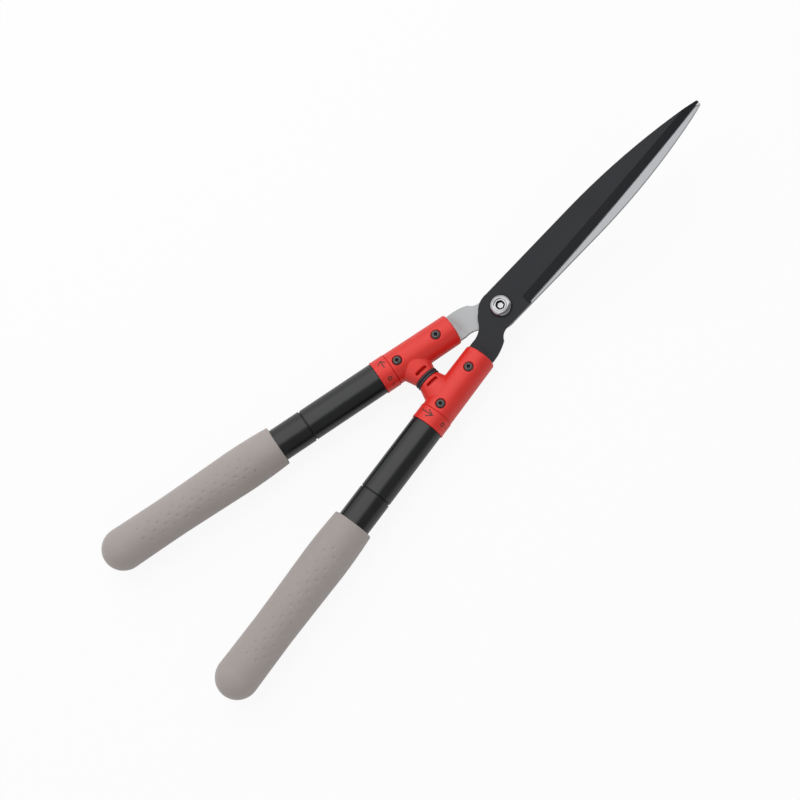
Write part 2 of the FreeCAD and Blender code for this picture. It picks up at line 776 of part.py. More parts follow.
def telescope(prefix, side):
    """The tubes, bush, lock and grip of one handle."""
    frame = handle_frame(side)
    collar_inner = size["spigot_radius"] + size["slip_fit"]
    lip = size["collar_lip"]
    node(turned(prefix + "_collar", frame, (
        (collar_front, collar_inner), (collar_rear, collar_inner),
        (collar_rear, size["collar_radius"] - lip),
        (collar_rear - lip, size["collar_radius"]),
        (collar_front + lip, size["collar_radius"]),
        (collar_front, size["collar_radius"] - lip))), prefix + "_collar")

    inner_radius = size["inner_tube_radius"]
    inner_bore = inner_radius - size["inner_tube_wall"]
    inner = turned(prefix + "_inner_tube", frame,
                   tube_steps(size["tube_seat"], size["inner_tube_end"], inner_bore, inner_radius))
    pocket(inner, sketch_on(inner, "XY_Plane", circles=(
        (rear_screw, ZERO, size["screw_radius"] + size["screw_clearance"]),)))
    node(inner, prefix + "_inner_tube")

    outer_radius = size["outer_tube_radius"]
    outer_bore = outer_radius - size["outer_tube_wall"]
    front = collar_rear + size["collar_gap"]
    tube_front = front + size["bush_flange"]
    node(turned(prefix + "_outer_tube", frame,
                tube_steps(tube_front, size["outer_tube_end"], outer_bore, outer_radius)),
         prefix + "_outer_tube")
    bush_bore = inner_radius + size["running_fit"]
    node(turned(prefix + "_guide_bush", frame, (
        (front, bush_bore), (front + size["bush_length"], bush_bore),
        (front + size["bush_length"], outer_bore - size["slip_fit"]),
        (tube_front, outer_bore - size["slip_fit"]),
        (tube_front, outer_radius), (front, outer_radius))), prefix + "_guide_bush")
    sleeve_bore = outer_radius + size["slip_fit"]
    node(turned(prefix + "_sleeve", frame,
                tube_steps(front, size["groove_place"] - size["groove_width"] / 2,
                           sleeve_bore, size["handle_radius"])), prefix + "_sleeve")

    core_front = size["groove_place"] + size["groove_width"] / 2
    core_back = size["outer_tube_end"] + size["core_floor"]
    node(turned(prefix + "_grip_core", frame, (
        (core_front, sleeve_bore), (size["outer_tube_end"], sleeve_bore),
        (size["outer_tube_end"], ZERO), (core_back, ZERO),
        (core_back, size["core_rear_radius"] - size["core_floor"]),
        (core_back - size["core_floor"], size["core_rear_radius"]),
        (size["grip_front"] + size["core_floor"], size["core_rear_radius"]),
        (size["grip_front"] + size["core_floor"], size["core_radius"]),
        (core_front, size["core_radius"]))), prefix + "_grip_core")
    grip(prefix + "_grip", frame, core_back)
    lock(prefix, frame, inner_bore, outer_bore)


# The grip's outline between its front lip, swell, waist and dome: shares of the way from one to
# the next along the axis, and of the change in radius, to the middle of each arc.
GRIP_FRONT_SHARES = (0.5, 0.78)
GRIP_MIDDLE_SHARES = (0.45, 0.48)
GRIP_REAR_SHARES = (0.4, 0.25)


def between(first, last, shares):
    """A point between two points of an outline, by a share for each direction."""
    return tuple(a + share * (b - a) for a, b, share in zip(first, last, shares))


def grip(name, frame, core_back):
    """Soft grip: swells behind its front lip, narrows to a waist and ends in a dome."""
    fit = size["slip_fit"]
    front = size["grip_front"]
    lip = size["grip_lip"]
    radius = size["grip_front_radius"]
    nose = (front + lip, radius)
    swell = (size["grip_swell"], size["grip_swell_radius"])
    waist = (size["grip_waist"], size["grip_waist_radius"])
    dome, dome_radius = size["grip_dome"], size["grip_dome_radius"]
    diagonal = DOME_SHARE * dome_radius
    node(turned(name, frame, (
        (front, size["core_radius"] + fit),
        (front + size["core_floor"], size["core_radius"] + fit),
        (front + size["core_floor"], size["core_rear_radius"] + fit),
        (core_back - size["core_floor"] + fit, size["core_rear_radius"] + fit),
        (core_back + fit, size["core_rear_radius"] - size["core_floor"] + fit),
        (core_back + fit, ZERO),
        (dome + dome_radius, ZERO),
        (dome, dome_radius, dome + diagonal, diagonal),
        waist + between(waist, (dome, dome_radius), GRIP_REAR_SHARES),
        swell + between(swell, waist, GRIP_MIDDLE_SHARES),
        nose + between(nose, swell, GRIP_FRONT_SHARES),
        (front, radius - lip, front + CORNER_SHARE * lip, radius - CORNER_SHARE * lip))), name)


def lock(prefix, frame, inner_bore, outer_bore):
    """Eccentric lock: a core in the inner tube's end, and a cam ring on its eccentric pin."""
    end = size["inner_tube_end"]
    flange = end + size["lock_flange"]
    pin_end = flange + size["lock_cam_gap"] + size["lock_cam_length"] + size["lock_cam_gap"]
    core = turned(prefix + "_lock_core", frame, (
        (end - size["lock_spigot"], ZERO),
        (end - size["lock_spigot"], inner_bore - size["slip_fit"]),
        (end, inner_bore - size["slip_fit"]), (end, size["inner_tube_radius"]),
        (flange, size["inner_tube_radius"]), (flange, ZERO)))
    eccentric = size["lock_eccentric"]
    pin_frame = sketch_on(core, "YZ_Plane", lifted(flange),
                          circles=((ZERO, eccentric, size["lock_pin_radius"]),))
    pad(core, pin_frame, pin_end - flange)
    pocket(core, sketch_on(core, "YZ_Plane", lifted(pin_end),
                           circles=((ZERO, eccentric, size["lock_screw_radius"]),)),
           size["lock_screw_depth"])
    node(core, prefix + "_lock_core")

    cam = body(prefix + "_lock_cam", frame)
    cam_low = flange + size["lock_cam_gap"]
    pad(cam, sketch_on(cam, "YZ_Plane", lifted(cam_low), circles=(
        (ZERO, ZERO, outer_bore - size["collar_gap"]),
        (ZERO, eccentric, size["lock_pin_radius"] + size["lock_play"]))), size["lock_cam_length"])
    node(cam, prefix + "_lock_cam")

    screw_frame = frame.multiply(FreeCAD.Placement(
        FreeCAD.Vector(pin_end.number, 0, eccentric.number), FreeCAD.Rotation()))
    cap = size["lock_cap"]
    hole = size["lock_screw_radius"] + size["slip_fit"]
    cap_radius = size["lock_cap_radius"] - eccentric
    head_radius = size["lock_screw_head_radius"]
    head = size["lock_screw_head"]
    round_radius, round_height = LOCK_ROUND_SHARES
    node(turned(prefix + "_lock_washer", screw_frame,
                tube_steps(ZERO, cap, hole, cap_radius)), prefix + "_lock_washer")
    node(turned(prefix + "_lock_screw", screw_frame, (
        (cap - size["lock_screw_depth"], ZERO),
        (cap - size["lock_screw_depth"], size["lock_screw_radius"] - size["slip_fit"]),
        (cap, size["lock_screw_radius"] - size["slip_fit"]),
        (cap, head_radius), (cap + head / 2, head_radius),
        (cap + head, head_radius / 2, cap + round_height * head, round_radius * head_radius),
        (cap + head, ZERO))), prefix + "_lock_screw")


for prefix, side in SIDES:
    slot_low = half_gap if side > 0 else -half_gap - size["blade_thickness"]
    housing(prefix + "_housing", side, slot_low)
    bumper(prefix + "_bumper", side)
    fasteners(prefix + "_housing_screws", side, housing_screw)
    fasteners(prefix + "_housing_nuts", side, housing_nut)
    telescope(prefix, side)

document.recompute()

for item in document.Objects:
    if "Invalid" in item.State or "Error" in item.State:
        raise ValueError("failed object: %s" % item.Label)
for item in nodes:
    if item.Shape.isNull() or not item.Shape.isValid():
        raise ValueError("bad shape: %s" % item.Label)

os.makedirs("parts", exist_ok=True)
for item in nodes:
    item.Shape.exportStep("parts/%s.step" % item.Label)
    print(item.Label, len(item.Shape.Solids), round(item.Shape.Volume, 1))
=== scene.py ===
import json
from math import acos, ceil, cos, hypot, pi, radians, sin

import bmesh
import bpy
from mathutils import Matrix, Vector


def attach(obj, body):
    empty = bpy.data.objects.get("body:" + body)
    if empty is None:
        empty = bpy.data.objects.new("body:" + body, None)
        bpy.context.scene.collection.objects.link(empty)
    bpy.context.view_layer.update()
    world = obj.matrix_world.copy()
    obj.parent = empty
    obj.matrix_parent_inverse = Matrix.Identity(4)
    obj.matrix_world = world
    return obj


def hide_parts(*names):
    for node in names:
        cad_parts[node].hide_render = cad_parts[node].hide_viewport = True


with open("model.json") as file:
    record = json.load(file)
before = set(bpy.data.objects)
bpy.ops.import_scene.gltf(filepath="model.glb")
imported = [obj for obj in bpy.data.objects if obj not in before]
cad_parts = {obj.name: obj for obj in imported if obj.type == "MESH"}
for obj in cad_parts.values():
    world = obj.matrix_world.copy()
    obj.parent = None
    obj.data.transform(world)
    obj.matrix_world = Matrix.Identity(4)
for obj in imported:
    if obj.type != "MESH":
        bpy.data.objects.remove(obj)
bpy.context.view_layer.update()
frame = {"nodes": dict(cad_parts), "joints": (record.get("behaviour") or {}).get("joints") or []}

# Camera
# The shears lie closed on a table and are looked down on from the side of the right handle,
# with the handles towards the lower left of the picture and the tips towards its upper right.
AIM = Vector((-0.0087, -0.03827, 0.0003))
CAMERA_DISTANCE = 1.2381
CAMERA_AZIMUTH = radians(-24.2326)
CAMERA_ELEVATION = radians(73.4807)
CAMERA_ROLL = radians(19.8277)
CAMERA_LENS = 62.19

sight = (Matrix.Rotation(CAMERA_AZIMUTH + pi / 2, 4, "Z")
         @ Matrix.Rotation(pi / 2 - CAMERA_ELEVATION, 4, "X")
         @ Matrix.Rotation(-CAMERA_ROLL, 4, "Z"))
camera = bpy.data.objects.new("camera", bpy.data.cameras.new("camera"))
camera.data.lens = CAMERA_LENS
camera.matrix_world = (Matrix.Translation(AIM) @ sight
                       @ Matrix.Translation((0, 0, CAMERA_DISTANCE)))
bpy.context.scene.collection.objects.link(camera)
bpy.context.scene.camera = camera
bpy.context.scene.view_settings.view_transform = "Standard"


# Table and light
# A pale table top runs far past the shears. A large soft lamp hangs over the left handle's
# side and a weaker one fills from the other. Glossy things mirror a bright ceiling, not the lamps.
TABLE_REACH = 12.0
TABLE_WHITE = (0.86, 0.86, 0.86, 1.0)
# How far the table shows plain white to the camera, and to the glossy things that mirror it.
TABLE_GLOW = 0.91
MIRRORED_GLOW = 0.35
ROOM_WHITE = (1.0, 1.0, 1.0, 1.0)
ROOM_STRENGTH = 0.42
# What glossy things mirror of the room: grey walls, and brightness on one side up to the ceiling.
# Where it starts and ends is given by how far up, or along X, a direction one long reaches.
WALL_GREY = 0.34
CEILING_WHITE = 2.0
HORIZON_SHARE = 0.45
WALL_TOP = 0.25
CEILING_START = 0.8
LIT_SIDE = 0.2
DIM_SIDE = 0.47
# Each lamp's place, width and power.
LAMPS = (("window_lamp", (-1.12, 0.09, 1.56), 2.1, 28.0),
         ("fill_lamp", (1.5, -0.45, 0.8), 2.6, 7.0))


class Value:
    """A number that a node tree works out: a sum written with it adds its Math node."""

    def __init__(self, tree, socket):
        self.tree = tree
        self.socket = socket

    def sum(self, operation, first, second):
        return Nodes(self.tree).value("ShaderNodeMath", {"operation": operation},
                                      {0: first, 1: second})

    def __add__(self, other):
        return self.sum("ADD", self, other)

    def __radd__(self, other):
        return self.sum("ADD", other, self)

    def __sub__(self, other):
        return self.sum("SUBTRACT", self, other)

    def __rsub__(self, other):
        return self.sum("SUBTRACT", other, self)

    def __mul__(self, other):
        return self.sum("MULTIPLY", self, other)

    def __rmul__(self, other):
        return self.sum("MULTIPLY", other, self)

    def __truediv__(self, other):
        return self.sum("DIVIDE", self, other)

    def __rtruediv__(self, other):
        return self.sum("DIVIDE", other, self)

    def __mod__(self, other):
        return self.sum("FLOORED_MODULO", self, other)

    def __rmod__(self, other):
        return self.sum("FLOORED_MODULO", other, self)

    def __gt__(self, other):
        return self.sum("GREATER_THAN", self, other)

    def __lt__(self, other):
        return self.sum("LESS_THAN", self, other)


class Nodes:
    """A node tree, and the one way to add a node to it."""

    def __init__(self, tree):
        self.tree = tree

    def add(self, kind, settings, sockets, output=0):
        """Adds a node, its settings first, then the values or links of its sockets. A list
        goes to a socket that takes many. It gives one of the node's outputs."""
        node = self.tree.nodes.new(kind)
        for name, setting in settings.items():
            setattr(node, name, setting)
        for name, values in sockets.items():
            for value in values if isinstance(values, list) else [values]:
                self.set(node.inputs[name], value)
        return node.outputs[output] if node.outputs else None

    def set(self, socket, value):
        if isinstance(value, Value):
            value = value.socket
        if isinstance(value, bpy.types.NodeSocket):
            self.tree.links.new(value, socket)
        else:
            socket.default_value = value

    def value(self, *words, **more):
        return Value(self.tree, self.add(*words, **more))


def reach(nodes, vector, axis):
    """How far a vector reaches along an axis."""
    return nodes.value("ShaderNodeSeparateXYZ", {}, {"Vector": vector}, output=axis)


def fade(nodes, value, start, end):
    """0 at the start and 1 at the end, smooth between them."""
    return nodes.value("ShaderNodeMapRange", {"interpolation_type": "SMOOTHSTEP"},
                       {"Value": value, "From Min": start, "From Max": end})


table = bpy.data.objects.new("table_top", bpy.data.meshes.new("table_top"))
table.data.from_pydata([(x * TABLE_REACH, y * TABLE_REACH, 0)
                        for x, y in ((-1, -1), (1, -1), (1, 1), (-1, 1))], [], [(0, 1, 2, 3)])
bpy.context.scene.collection.objects.link(table)
table_finish = bpy.data.materials.new("table_finish")
table_finish.use_nodes = True
table.data.materials.append(table_finish)
top = Nodes(table_finish.node_tree)
top.tree.nodes.clear()
seen = top.value("ShaderNodeLightPath", {}, {}, output="Is Camera Ray")
mirrored = top.value("ShaderNodeLightPath", {}, {}, output="Is Glossy Ray")
paper = top.add("ShaderNodeBsdfDiffuse", {}, {"Color": TABLE_WHITE})
glow = top.add("ShaderNodeEmission", {}, {"Color": ROOM_WHITE, "Strength": 1.0})
surface = top.add("ShaderNodeMixShader", {},
                  {0: seen * TABLE_GLOW + mirrored * MIRRORED_GLOW, 1: paper, 2: glow})
top.add("ShaderNodeOutputMaterial", {}, {"Surface": surface})

room = bpy.data.worlds.new("room")
bpy.context.scene.world = room
room.use_nodes = True
walls = Nodes(room.node_tree)
walls.tree.nodes.clear()
seen = walls.value("ShaderNodeLightPath", {}, {}, output="Is Camera Ray")
mirrored = walls.value("ShaderNodeLightPath", {}, {}, output="Is Glossy Ray")
direction = walls.add("ShaderNodeTexCoord", {}, {}, output="Generated")
ceiling = fade(walls, reach(walls, direction, "Z"), WALL_TOP, CEILING_START)
lit = fade(walls, reach(walls, direction, "X"), DIM_SIDE, LIT_SIDE)
bright = lit * (HORIZON_SHARE + ceiling * (1 - HORIZON_SHARE))
glossy = WALL_GREY + bright * (CEILING_WHITE - WALL_GREY)
strength = ROOM_STRENGTH + seen * (1 - ROOM_STRENGTH) + mirrored * (glossy - ROOM_STRENGTH)
light = walls.add("ShaderNodeBackground", {}, {"Color": ROOM_WHITE, "Strength": strength})
walls.add("ShaderNodeOutputWorld", {}, {"Surface": light})

for name, place, width, power in LAMPS:
    lamp = bpy.data.objects.new(name, bpy.data.lights.new(name, "AREA"))
    lamp.data.size = width
    lamp.data.energy = power
    lamp.visible_glossy = False
    lamp.location = place
    lamp.rotation_euler = (AIM - Vector(place)).to_track_quat("-Z", "Y").to_euler()
    bpy.context.scene.collection.objects.link(lamp)


# Blades
# Two bent plates of tool steel, mirror images of each other. The upper one is coated black over
# its ground bevel and bare along its edge; the lower one is ground, and blasted on its tang.
MM = 0.001
WELD = 0.001 * MM
BLADE_EASE = 0.22 * MM
BEND_EASE = 3.2 * MM
BEND_STEPS = 5
# How far the normal of a face beside the bend may lean sideways, and has to reach up or down.
BEND_SIDEWAYS = 0.01
BEND_UPRIGHT = 0.9
SHARP_ANGLE = radians(30)
RIDGE_ANGLE = radians(9)
FLAT_ANGLE = radians(0.4)
EDGE_START = 21 * MM
EDGE_LEVEL = 0.95 * MM
EDGE_MARGIN = 1.5 * MM
BARE_SHARE = 0.985
COATING = (0.010, 0.0105, 0.013, 1.0)
COATING_WORN = (0.024, 0.024, 0.028, 1.0)
BARE_STEEL = (0.36, 0.365, 0.38, 1.0)
GROUND_STEEL = (0.25, 0.253, 0.262, 1.0)
GROUND_LIGHT = (0.305, 0.308, 0.318, 1.0)
BLASTED_STEEL = (0.30, 0.31, 0.315, 1.0)
BLASTED_LIGHT = (0.38, 0.39, 0.395, 1.0)
TANG_START = 0.078
TANG_BLEND = 0.012


def placed(origin, along, up):
    """The place whose X axis runs along the one direction and whose Z axis is the other."""
    return (Matrix.Translation(origin)
            @ Matrix((along, up.cross(along), up)).transposed().to_4x4())


def worked(mesh, *steps):
    """The mesh after modifiers, each given as its kind and its settings or named inputs."""
    holder = bpy.data.objects.new(mesh.name, mesh)
    bpy.context.scene.collection.objects.link(holder)
    for kind, settings in steps:
        modifier = holder.modifiers.new(kind, kind)
        for name, setting in settings.items():
            if hasattr(modifier, name):
                setattr(modifier, name, setting)
            else:
                modifier[modifier.node_group.interface.items_tree[name].identifier] = setting
    bpy.context.view_layer.update()
    result = bpy.data.meshes.new_from_object(
        holder.evaluated_get(bpy.context.evaluated_depsgraph_get()))
    bpy.data.objects.remove(holder)
    return result


def whole(node):
    """A node's own skin in one piece, with its flat faces undivided."""
    skin = bmesh.new()
    skin.from_mesh(frame["nodes"][node].data)
    bmesh.ops.remove_doubles(skin, verts=skin.verts, dist=WELD)
    bmesh.ops.dissolve_limit(skin, angle_limit=FLAT_ANGLE, verts=skin.verts, edges=skin.edges)
    mesh = bpy.data.meshes.new(node + "_skin")
    skin.to_mesh(mesh)
    skin.free()
    mesh.materials.clear()
    mesh.shade_smooth()
    return mesh


def show(name, mesh, body, slot, material, *nodes):
    """Shows a finished mesh as a piece of the body, in place of the nodes named."""
    piece = bpy.data.objects.new(name, mesh)
    mesh.materials.clear()
    mesh.materials.append(material)
    bpy.context.scene.collection.objects.link(piece)
    if nodes:
        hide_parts(*nodes)
    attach(piece, body)


def new_finish(name, **sockets):
    """A new material, its nodes, its shader's sockets, some of them the same all over, and the
    place on its piece."""
    material = bpy.data.materials.new(name)
    material.use_nodes = True
    nodes = Nodes(material.node_tree)
    shader = nodes.tree.nodes["Principled BSDF"].inputs
    for socket, value in sockets.items():
        shader[socket.replace("_", " ")].default_value = value
    return material, nodes, shader, nodes.add("ShaderNodeTexCoord", {}, {}, output="Object")


def noise(nodes, place, scale, detail, distortion=0.0):
    """Cloudy patches from 0 to 1, so many to the metre. A scale that gives a number for each
    way draws them out into streaks."""
    if isinstance(scale, tuple):
        place = nodes.add("ShaderNodeMapping", {}, {"Vector": place, "Scale": scale})
        scale = 1.0
    return nodes.value("ShaderNodeTexNoise", {}, {
        "Vector": place, "Scale": scale, "Detail": detail, "Distortion": distortion})


def mixed(nodes, share, first, second):
    return nodes.add("ShaderNodeMix", {"data_type": "RGBA"}, {0: share, 6: first, 7: second},
                     output=2)


def raise_surface(nodes, shader, height, depth):
    nodes.set(shader["Normal"], nodes.add(
        "ShaderNodeBump", {}, {"Strength": 1.0, "Distance": depth, "Height": height}))


joints = {joint["name"]: joint for joint in frame["joints"]}
pivot_up = -Vector(joints["pivot"]["axis"])
pivot_place = placed(Vector(joints["pivot"]["pos_m"]), Vector((1, 0, 0)), pivot_up)


def blade(node, side):
    """The plate with its bend and edges rounded, and how near points are to the cutting edge."""
    mesh = whole(node)
    skin = bmesh.new()
    skin.from_mesh(mesh)
    bend = [edge for edge in skin.edges if edge.is_manifold
            and all(abs(face.normal.x) < BEND_SIDEWAYS and abs(face.normal.z) > BEND_UPRIGHT
                    for face in edge.link_faces)
            and edge.calc_face_angle() > RIDGE_ANGLE]
    bmesh.ops.bevel(skin, geom=bend, offset=BEND_EASE, segments=BEND_STEPS, profile=0.5,
                    affect="EDGES", clamp_overlap=False)
    skin.to_mesh(mesh)
    skin.free()
    mesh.shade_smooth()
    mesh = worked(mesh, ("BEVEL", {
        "width": BLADE_EASE, "segments": 2, "limit_method": "ANGLE", "angle_limit": RIDGE_ANGLE,
        "use_clamp_overlap": False}), ("WEIGHTED_NORMAL", {}))
    nearness = mesh.attributes.new("edge_nearness", "FLOAT", "POINT")
    inverse = pivot_place.inverted()
    for vertex, near in zip(mesh.vertices, nearness.data):
        x, y, z = inverse @ vertex.co
        near.value = y > EDGE_START and side * x > -EDGE_MARGIN and abs(z) < EDGE_LEVEL
    return mesh


coated_steel, nodes, shader, place = new_finish("coated_steel", Specular_IOR_Level=0.25)
peel = noise(nodes, place, 2600.0, detail=2.0)
broad = noise(nodes, place, 38.0, detail=5.0)
scuffs = noise(nodes, place, (900.0, 24.0, 900.0), detail=3.0)
near = nodes.value("ShaderNodeAttribute", {"attribute_name": "edge_nearness"}, {}, output="Fac")
bare = near + (broad - 0.5) * 0.02 > BARE_SHARE
scuffed = (scuffs > 0.71) * (broad > 0.52) * 0.7
coating = mixed(nodes, scuffed, COATING, COATING_WORN)
nodes.set(shader["Base Color"], mixed(nodes, bare, coating, BARE_STEEL))
nodes.set(shader["Metallic"], bare)
nodes.set(shader["Roughness"], 0.46 + broad * 0.12 - bare * 0.2)
raise_surface(nodes, shader, peel + scuffs * 0.6, 0.012 * MM)

ground_steel, nodes, shader, place = new_finish("ground_steel", Metallic=1.0)
blade_share = fade(nodes, reach(nodes, place, "Y"), TANG_START - TANG_BLEND, TANG_START)
ground = noise(nodes, place, (55.0, 5200.0, 55.0), detail=3.0)
blasted = noise(nodes, place, 5200.0, detail=2.0)
broad = noise(nodes, place, 30.0, detail=4.0)
nodes.set(shader["Base Color"], mixed(
    nodes, blade_share,
    mixed(nodes, broad, BLASTED_STEEL, BLASTED_LIGHT),
    mixed(nodes, ground * 0.5 + broad * 0.4, GROUND_STEEL, GROUND_LIGHT)))
nodes.set(shader["Roughness"], 0.56 - blade_share * 0.18 + broad * 0.08)
raise_surface(nodes, shader, ground * blade_share + blasted * (1 - blade_share) * 3.0,
              0.0022 * MM)

show("coated_blade", blade("upper_blade", 1), "right_half", "black_coated_steel", coated_steel,
     "upper_blade")
show("ground_blade", blade("lower_blade", -1), "left_half", "ground_steel", ground_steel,
     "lower_blade")


# Pivot
# A chromed bolt with a rounded, dished head and a hexagon socket passes down through both blades.
# A nylon washer lies between them, and a thrust washer, a cone washer and a nut hold it below.
BOLT_TAIL = -18.3
BOLT_LEAD = 1.0
SHANK_RADIUS = 5.0
THREAD_PITCH = 1.5
THREAD_DEPTH = 0.75
THREAD_PLAY = 0.06
# The head from its seat over its rim and crest, into its dish and down its hexagon socket: up
# from between the blades, out from the axis, and 1 where it is hexagonal.
BOLT_HEAD = ((4.2, 5.0), (4.2, 10.0), (4.4, 10.2), (5.1, 10.15), (6.3, 9.65), (7.4, 8.8),
             (8.3, 7.6), (8.8, 6.4), (8.5, 5.8), (8.0, 5.3), (7.9, 4.2), (7.55, 3.9, 1),
             (6.0, 3.9, 1), (6.0, 2.4, 1), (6.4, 0))
HEXAGONAL = 0.99
# The dark painted into the hexagon sockets as their shade, and how much of the bolt's socket
# floor, from its middle out, is left unpainted.
SOCKET_UNSHADED = 2.4
SOCKET_SHADE = (0.012, 0.012, 0.013, 1.0)
NUT_TOP = -7.3
NUT_LOW = -15.3
NUT_HALF = 8.5
# The most of an outline's run that the rounding of one corner takes.
EASE_MOST = 0.45
CHROME = (0.52, 0.52, 0.53, 1.0)
CHROME_DULL = (0.22, 0.22, 0.23, 1.0)
ZINC = (0.50, 0.51, 0.53, 1.0)
ZINC_LIGHT = (0.66, 0.67, 0.69, 1.0)
NYLON_WHITE = (0.78, 0.78, 0.74, 1.0)
NYLON_CREAM = (0.70, 0.69, 0.62, 1.0)


def eased(outline, ease, loop=False, rounds=4):
    """The outline with its corners rounded. A point is along, out, and 1 if it is hexagonal."""
    corners = [Vector((*point, 0)[:3]) for point in outline]
    points = []
    for index, corner in enumerate(corners):
        if not loop and index in (0, len(corners) - 1):
            points.append(corner)
            continue
        runs = (corners[index - 1] - corner, corners[(index + 1) % len(corners)] - corner)
        start, end = (corner + run.normalized() * min(ease, run.length * EASE_MOST)
                      for run in runs)
        for step in range(rounds + 1):
            share = step / rounds
            points.append(start * (1 - share) ** 2 + corner * 2 * share * (1 - share)
                          + end * share ** 2)
    return points


def turned(name, points, place, loop=False, sides=96):
    """A mesh turned about the place's X axis from an outline in millimetres."""
    skin = bmesh.new()
    around = skin.loops.layers.uv.new("around")
    rings = []
    travel = 0.0
    travels = []
    for index, (along, out, hexagonal) in enumerate(points):
        if index:
            travel += hypot(along - points[index - 1][0], out - points[index - 1][1])
        travels.append(travel)
        ring = []
        for step in range(sides if out > 0 else 1):
            angle = 2 * pi * step / sides
            flat = out * (1 - hexagonal) + hexagonal * out / cos(angle % (pi / 3) - pi / 6)
            ring.append(skin.verts.new((along, flat * sin(angle), flat * cos(angle))))
        rings.append(ring)
    pairs = list(zip(range(len(rings)), range(1, len(rings))))
    if loop:
        pairs.append((len(rings) - 1, 0))
        travels.append(travel)
    for first, second in pairs:
        near, far = rings[first], rings[second]
        for step in range(sides):
            after = (step + 1) % sides
            corners = [(near[step % len(near)], step, first),
                       (near[after % len(near)], step + 1, first),
                       (far[after % len(far)], step + 1, second),
                       (far[step % len(far)], step, second)]
            if len(near) == 1:
                corners.pop(1)
            elif len(far) == 1:
                corners.pop(2)
            face = skin.faces.new([corner[0] for corner in corners])
            for corner, (_, turn, ring) in zip(face.loops, corners):
                corner[around].uv = (turn / sides, travels[ring] * MM)
    bmesh.ops.recalc_face_normals(skin, faces=skin.faces)
    mesh = bpy.data.meshes.new(name)
    skin.transform(place @ Matrix.Scale(MM, 4))
    skin.to_mesh(mesh)
    skin.free()
    mesh.shade_smooth()
    mesh.set_sharp_from_angle(angle=SHARP_ANGLE)
    return mesh


def threads(low, high, radius, depth, pitch):
    """The zigzag of a thread's crests and roots, from low to high."""
    points = []
    for turn in range(int((high - low) / pitch)):
        points += [(low + turn * pitch, radius), (low + (turn + 0.5) * pitch, radius - depth)]
    return points


def hexagon_nut(low, top, bore, half, inset, chamfer, ease, rounds=4):
    """A nut's outline: its bore, and its hexagon, chamfered to a round face at each end."""
    return eased([(low, bore), (top, bore), (top, half - inset), (top - chamfer, half, 1),
                  (low + chamfer, half, 1), (low, half - inset)], ease, loop=True, rounds=rounds)


def in_socket(nodes, outline, unshaded):
    """1 on a turned head's hexagon socket, where its shade is painted dark, but for its floor's
    middle.
    """
    travels = [0.0]
    for before, after in zip(outline, outline[1:]):
        travels.append(travels[-1] + hypot(after[0] - before[0], after[1] - before[1]) * MM)
    start = next(travel for point, travel in zip(outline, travels) if point[2] > HEXAGONAL)
    travel = reach(nodes, nodes.add("ShaderNodeUVMap", {"uv_map": "around"}, {}), "Y")
    return (travel > start) * (travel < travels[-1] - unshaded * MM)


def paint(node, material):
    mesh = frame["nodes"][node].data
    mesh.materials.clear()
    mesh.materials.append(material)


bolt_place = placed(pivot_place.translation, pivot_up, Vector((1, 0, 0)))
bolt = ([(BOLT_TAIL, 0), (BOLT_TAIL, SHANK_RADIUS - THREAD_DEPTH)]
        + threads(BOLT_TAIL + BOLT_LEAD, NUT_LOW + THREAD_PITCH, SHANK_RADIUS, THREAD_DEPTH,
                  THREAD_PITCH)
        + [(NUT_LOW + THREAD_PITCH, SHANK_RADIUS), BOLT_HEAD[0]])
bolt_outline = eased(bolt, ease=0.2)[:-1] + eased(BOLT_HEAD, ease=0.5)[1:]

chrome, nodes, shader, place = new_finish("chrome_plate", Metallic=1.0)
smudge = noise(nodes, place, 260.0, detail=4.0)
fine = noise(nodes, place, 1500.0, detail=2.0)
# The hexagon socket is painted dark as its shade.
socket_shade = in_socket(nodes, bolt_outline, SOCKET_UNSHADED)
nodes.set(shader["Base Color"], mixed(nodes, socket_shade, mixed(nodes, smudge, CHROME_DULL, CHROME),
                                      SOCKET_SHADE))
nodes.set(shader["Roughness"], 0.08 + smudge * 0.16 + socket_shade * 0.4)
raise_surface(nodes, shader, fine, 0.006 * MM)

zinc_plate, nodes, shader, place = new_finish("zinc_plate", Metallic=1.0)
spangle = nodes.value("ShaderNodeTexVoronoi", {}, {"Vector": place, "Scale": 900.0})
broad = noise(nodes, place, 120.0, detail=3.0)
nodes.set(shader["Base Color"], mixed(nodes, spangle * 0.5 + broad * 0.5, ZINC, ZINC_LIGHT))
nodes.set(shader["Roughness"], 0.28 + broad * 0.2)
raise_surface(nodes, shader, broad + spangle * 0.3, 0.01 * MM)

white_nylon, nodes, shader, place = new_finish("white_nylon")
cloud = noise(nodes, place, 150.0, detail=3.0)
nodes.set(shader["Base Color"], mixed(nodes, cloud, NYLON_CREAM, NYLON_WHITE))
nodes.set(shader["Roughness"], 0.42 + cloud * 0.15)
raise_surface(nodes, shader, cloud, 0.02 * MM)

show("pivot_bolt_turned", turned("pivot_bolt_turned", bolt_outline, bolt_place), "right_half",
     "chrome", chrome, "pivot_bolt")
nut = hexagon_nut(NUT_LOW, NUT_TOP, SHANK_RADIUS + THREAD_PLAY, NUT_HALF, inset=0.4,
                  chamfer=0.9, ease=0.15)
show("pivot_nut_chamfered", turned("pivot_nut_chamfered", nut, bolt_place, loop=True),
     "right_half", "zinc_plated_steel", zinc_plate, "pivot_nut")
paint("thrust_washer", zinc_plate)
paint("cone_washer", zinc_plate)
paint("friction_washer", white_nylon)


# Housings
# Each is one moulding of red glass filled nylon. It grips the tang and the inner tube, carries the
# collar on a spigot behind, and its conical stub runs out of the round body in a smooth blend.
HOUSING_VOXEL = 0.5 * MM
HOUSING_BLEND = 6
NYLON_RED = (0.65, 0.018, 0.012, 1.0)
NYLON_RED_LIGHT = (0.73, 0.032, 0.022, 1.0)
NYLON_SCUFF = (0.76, 0.07, 0.05, 1.0)

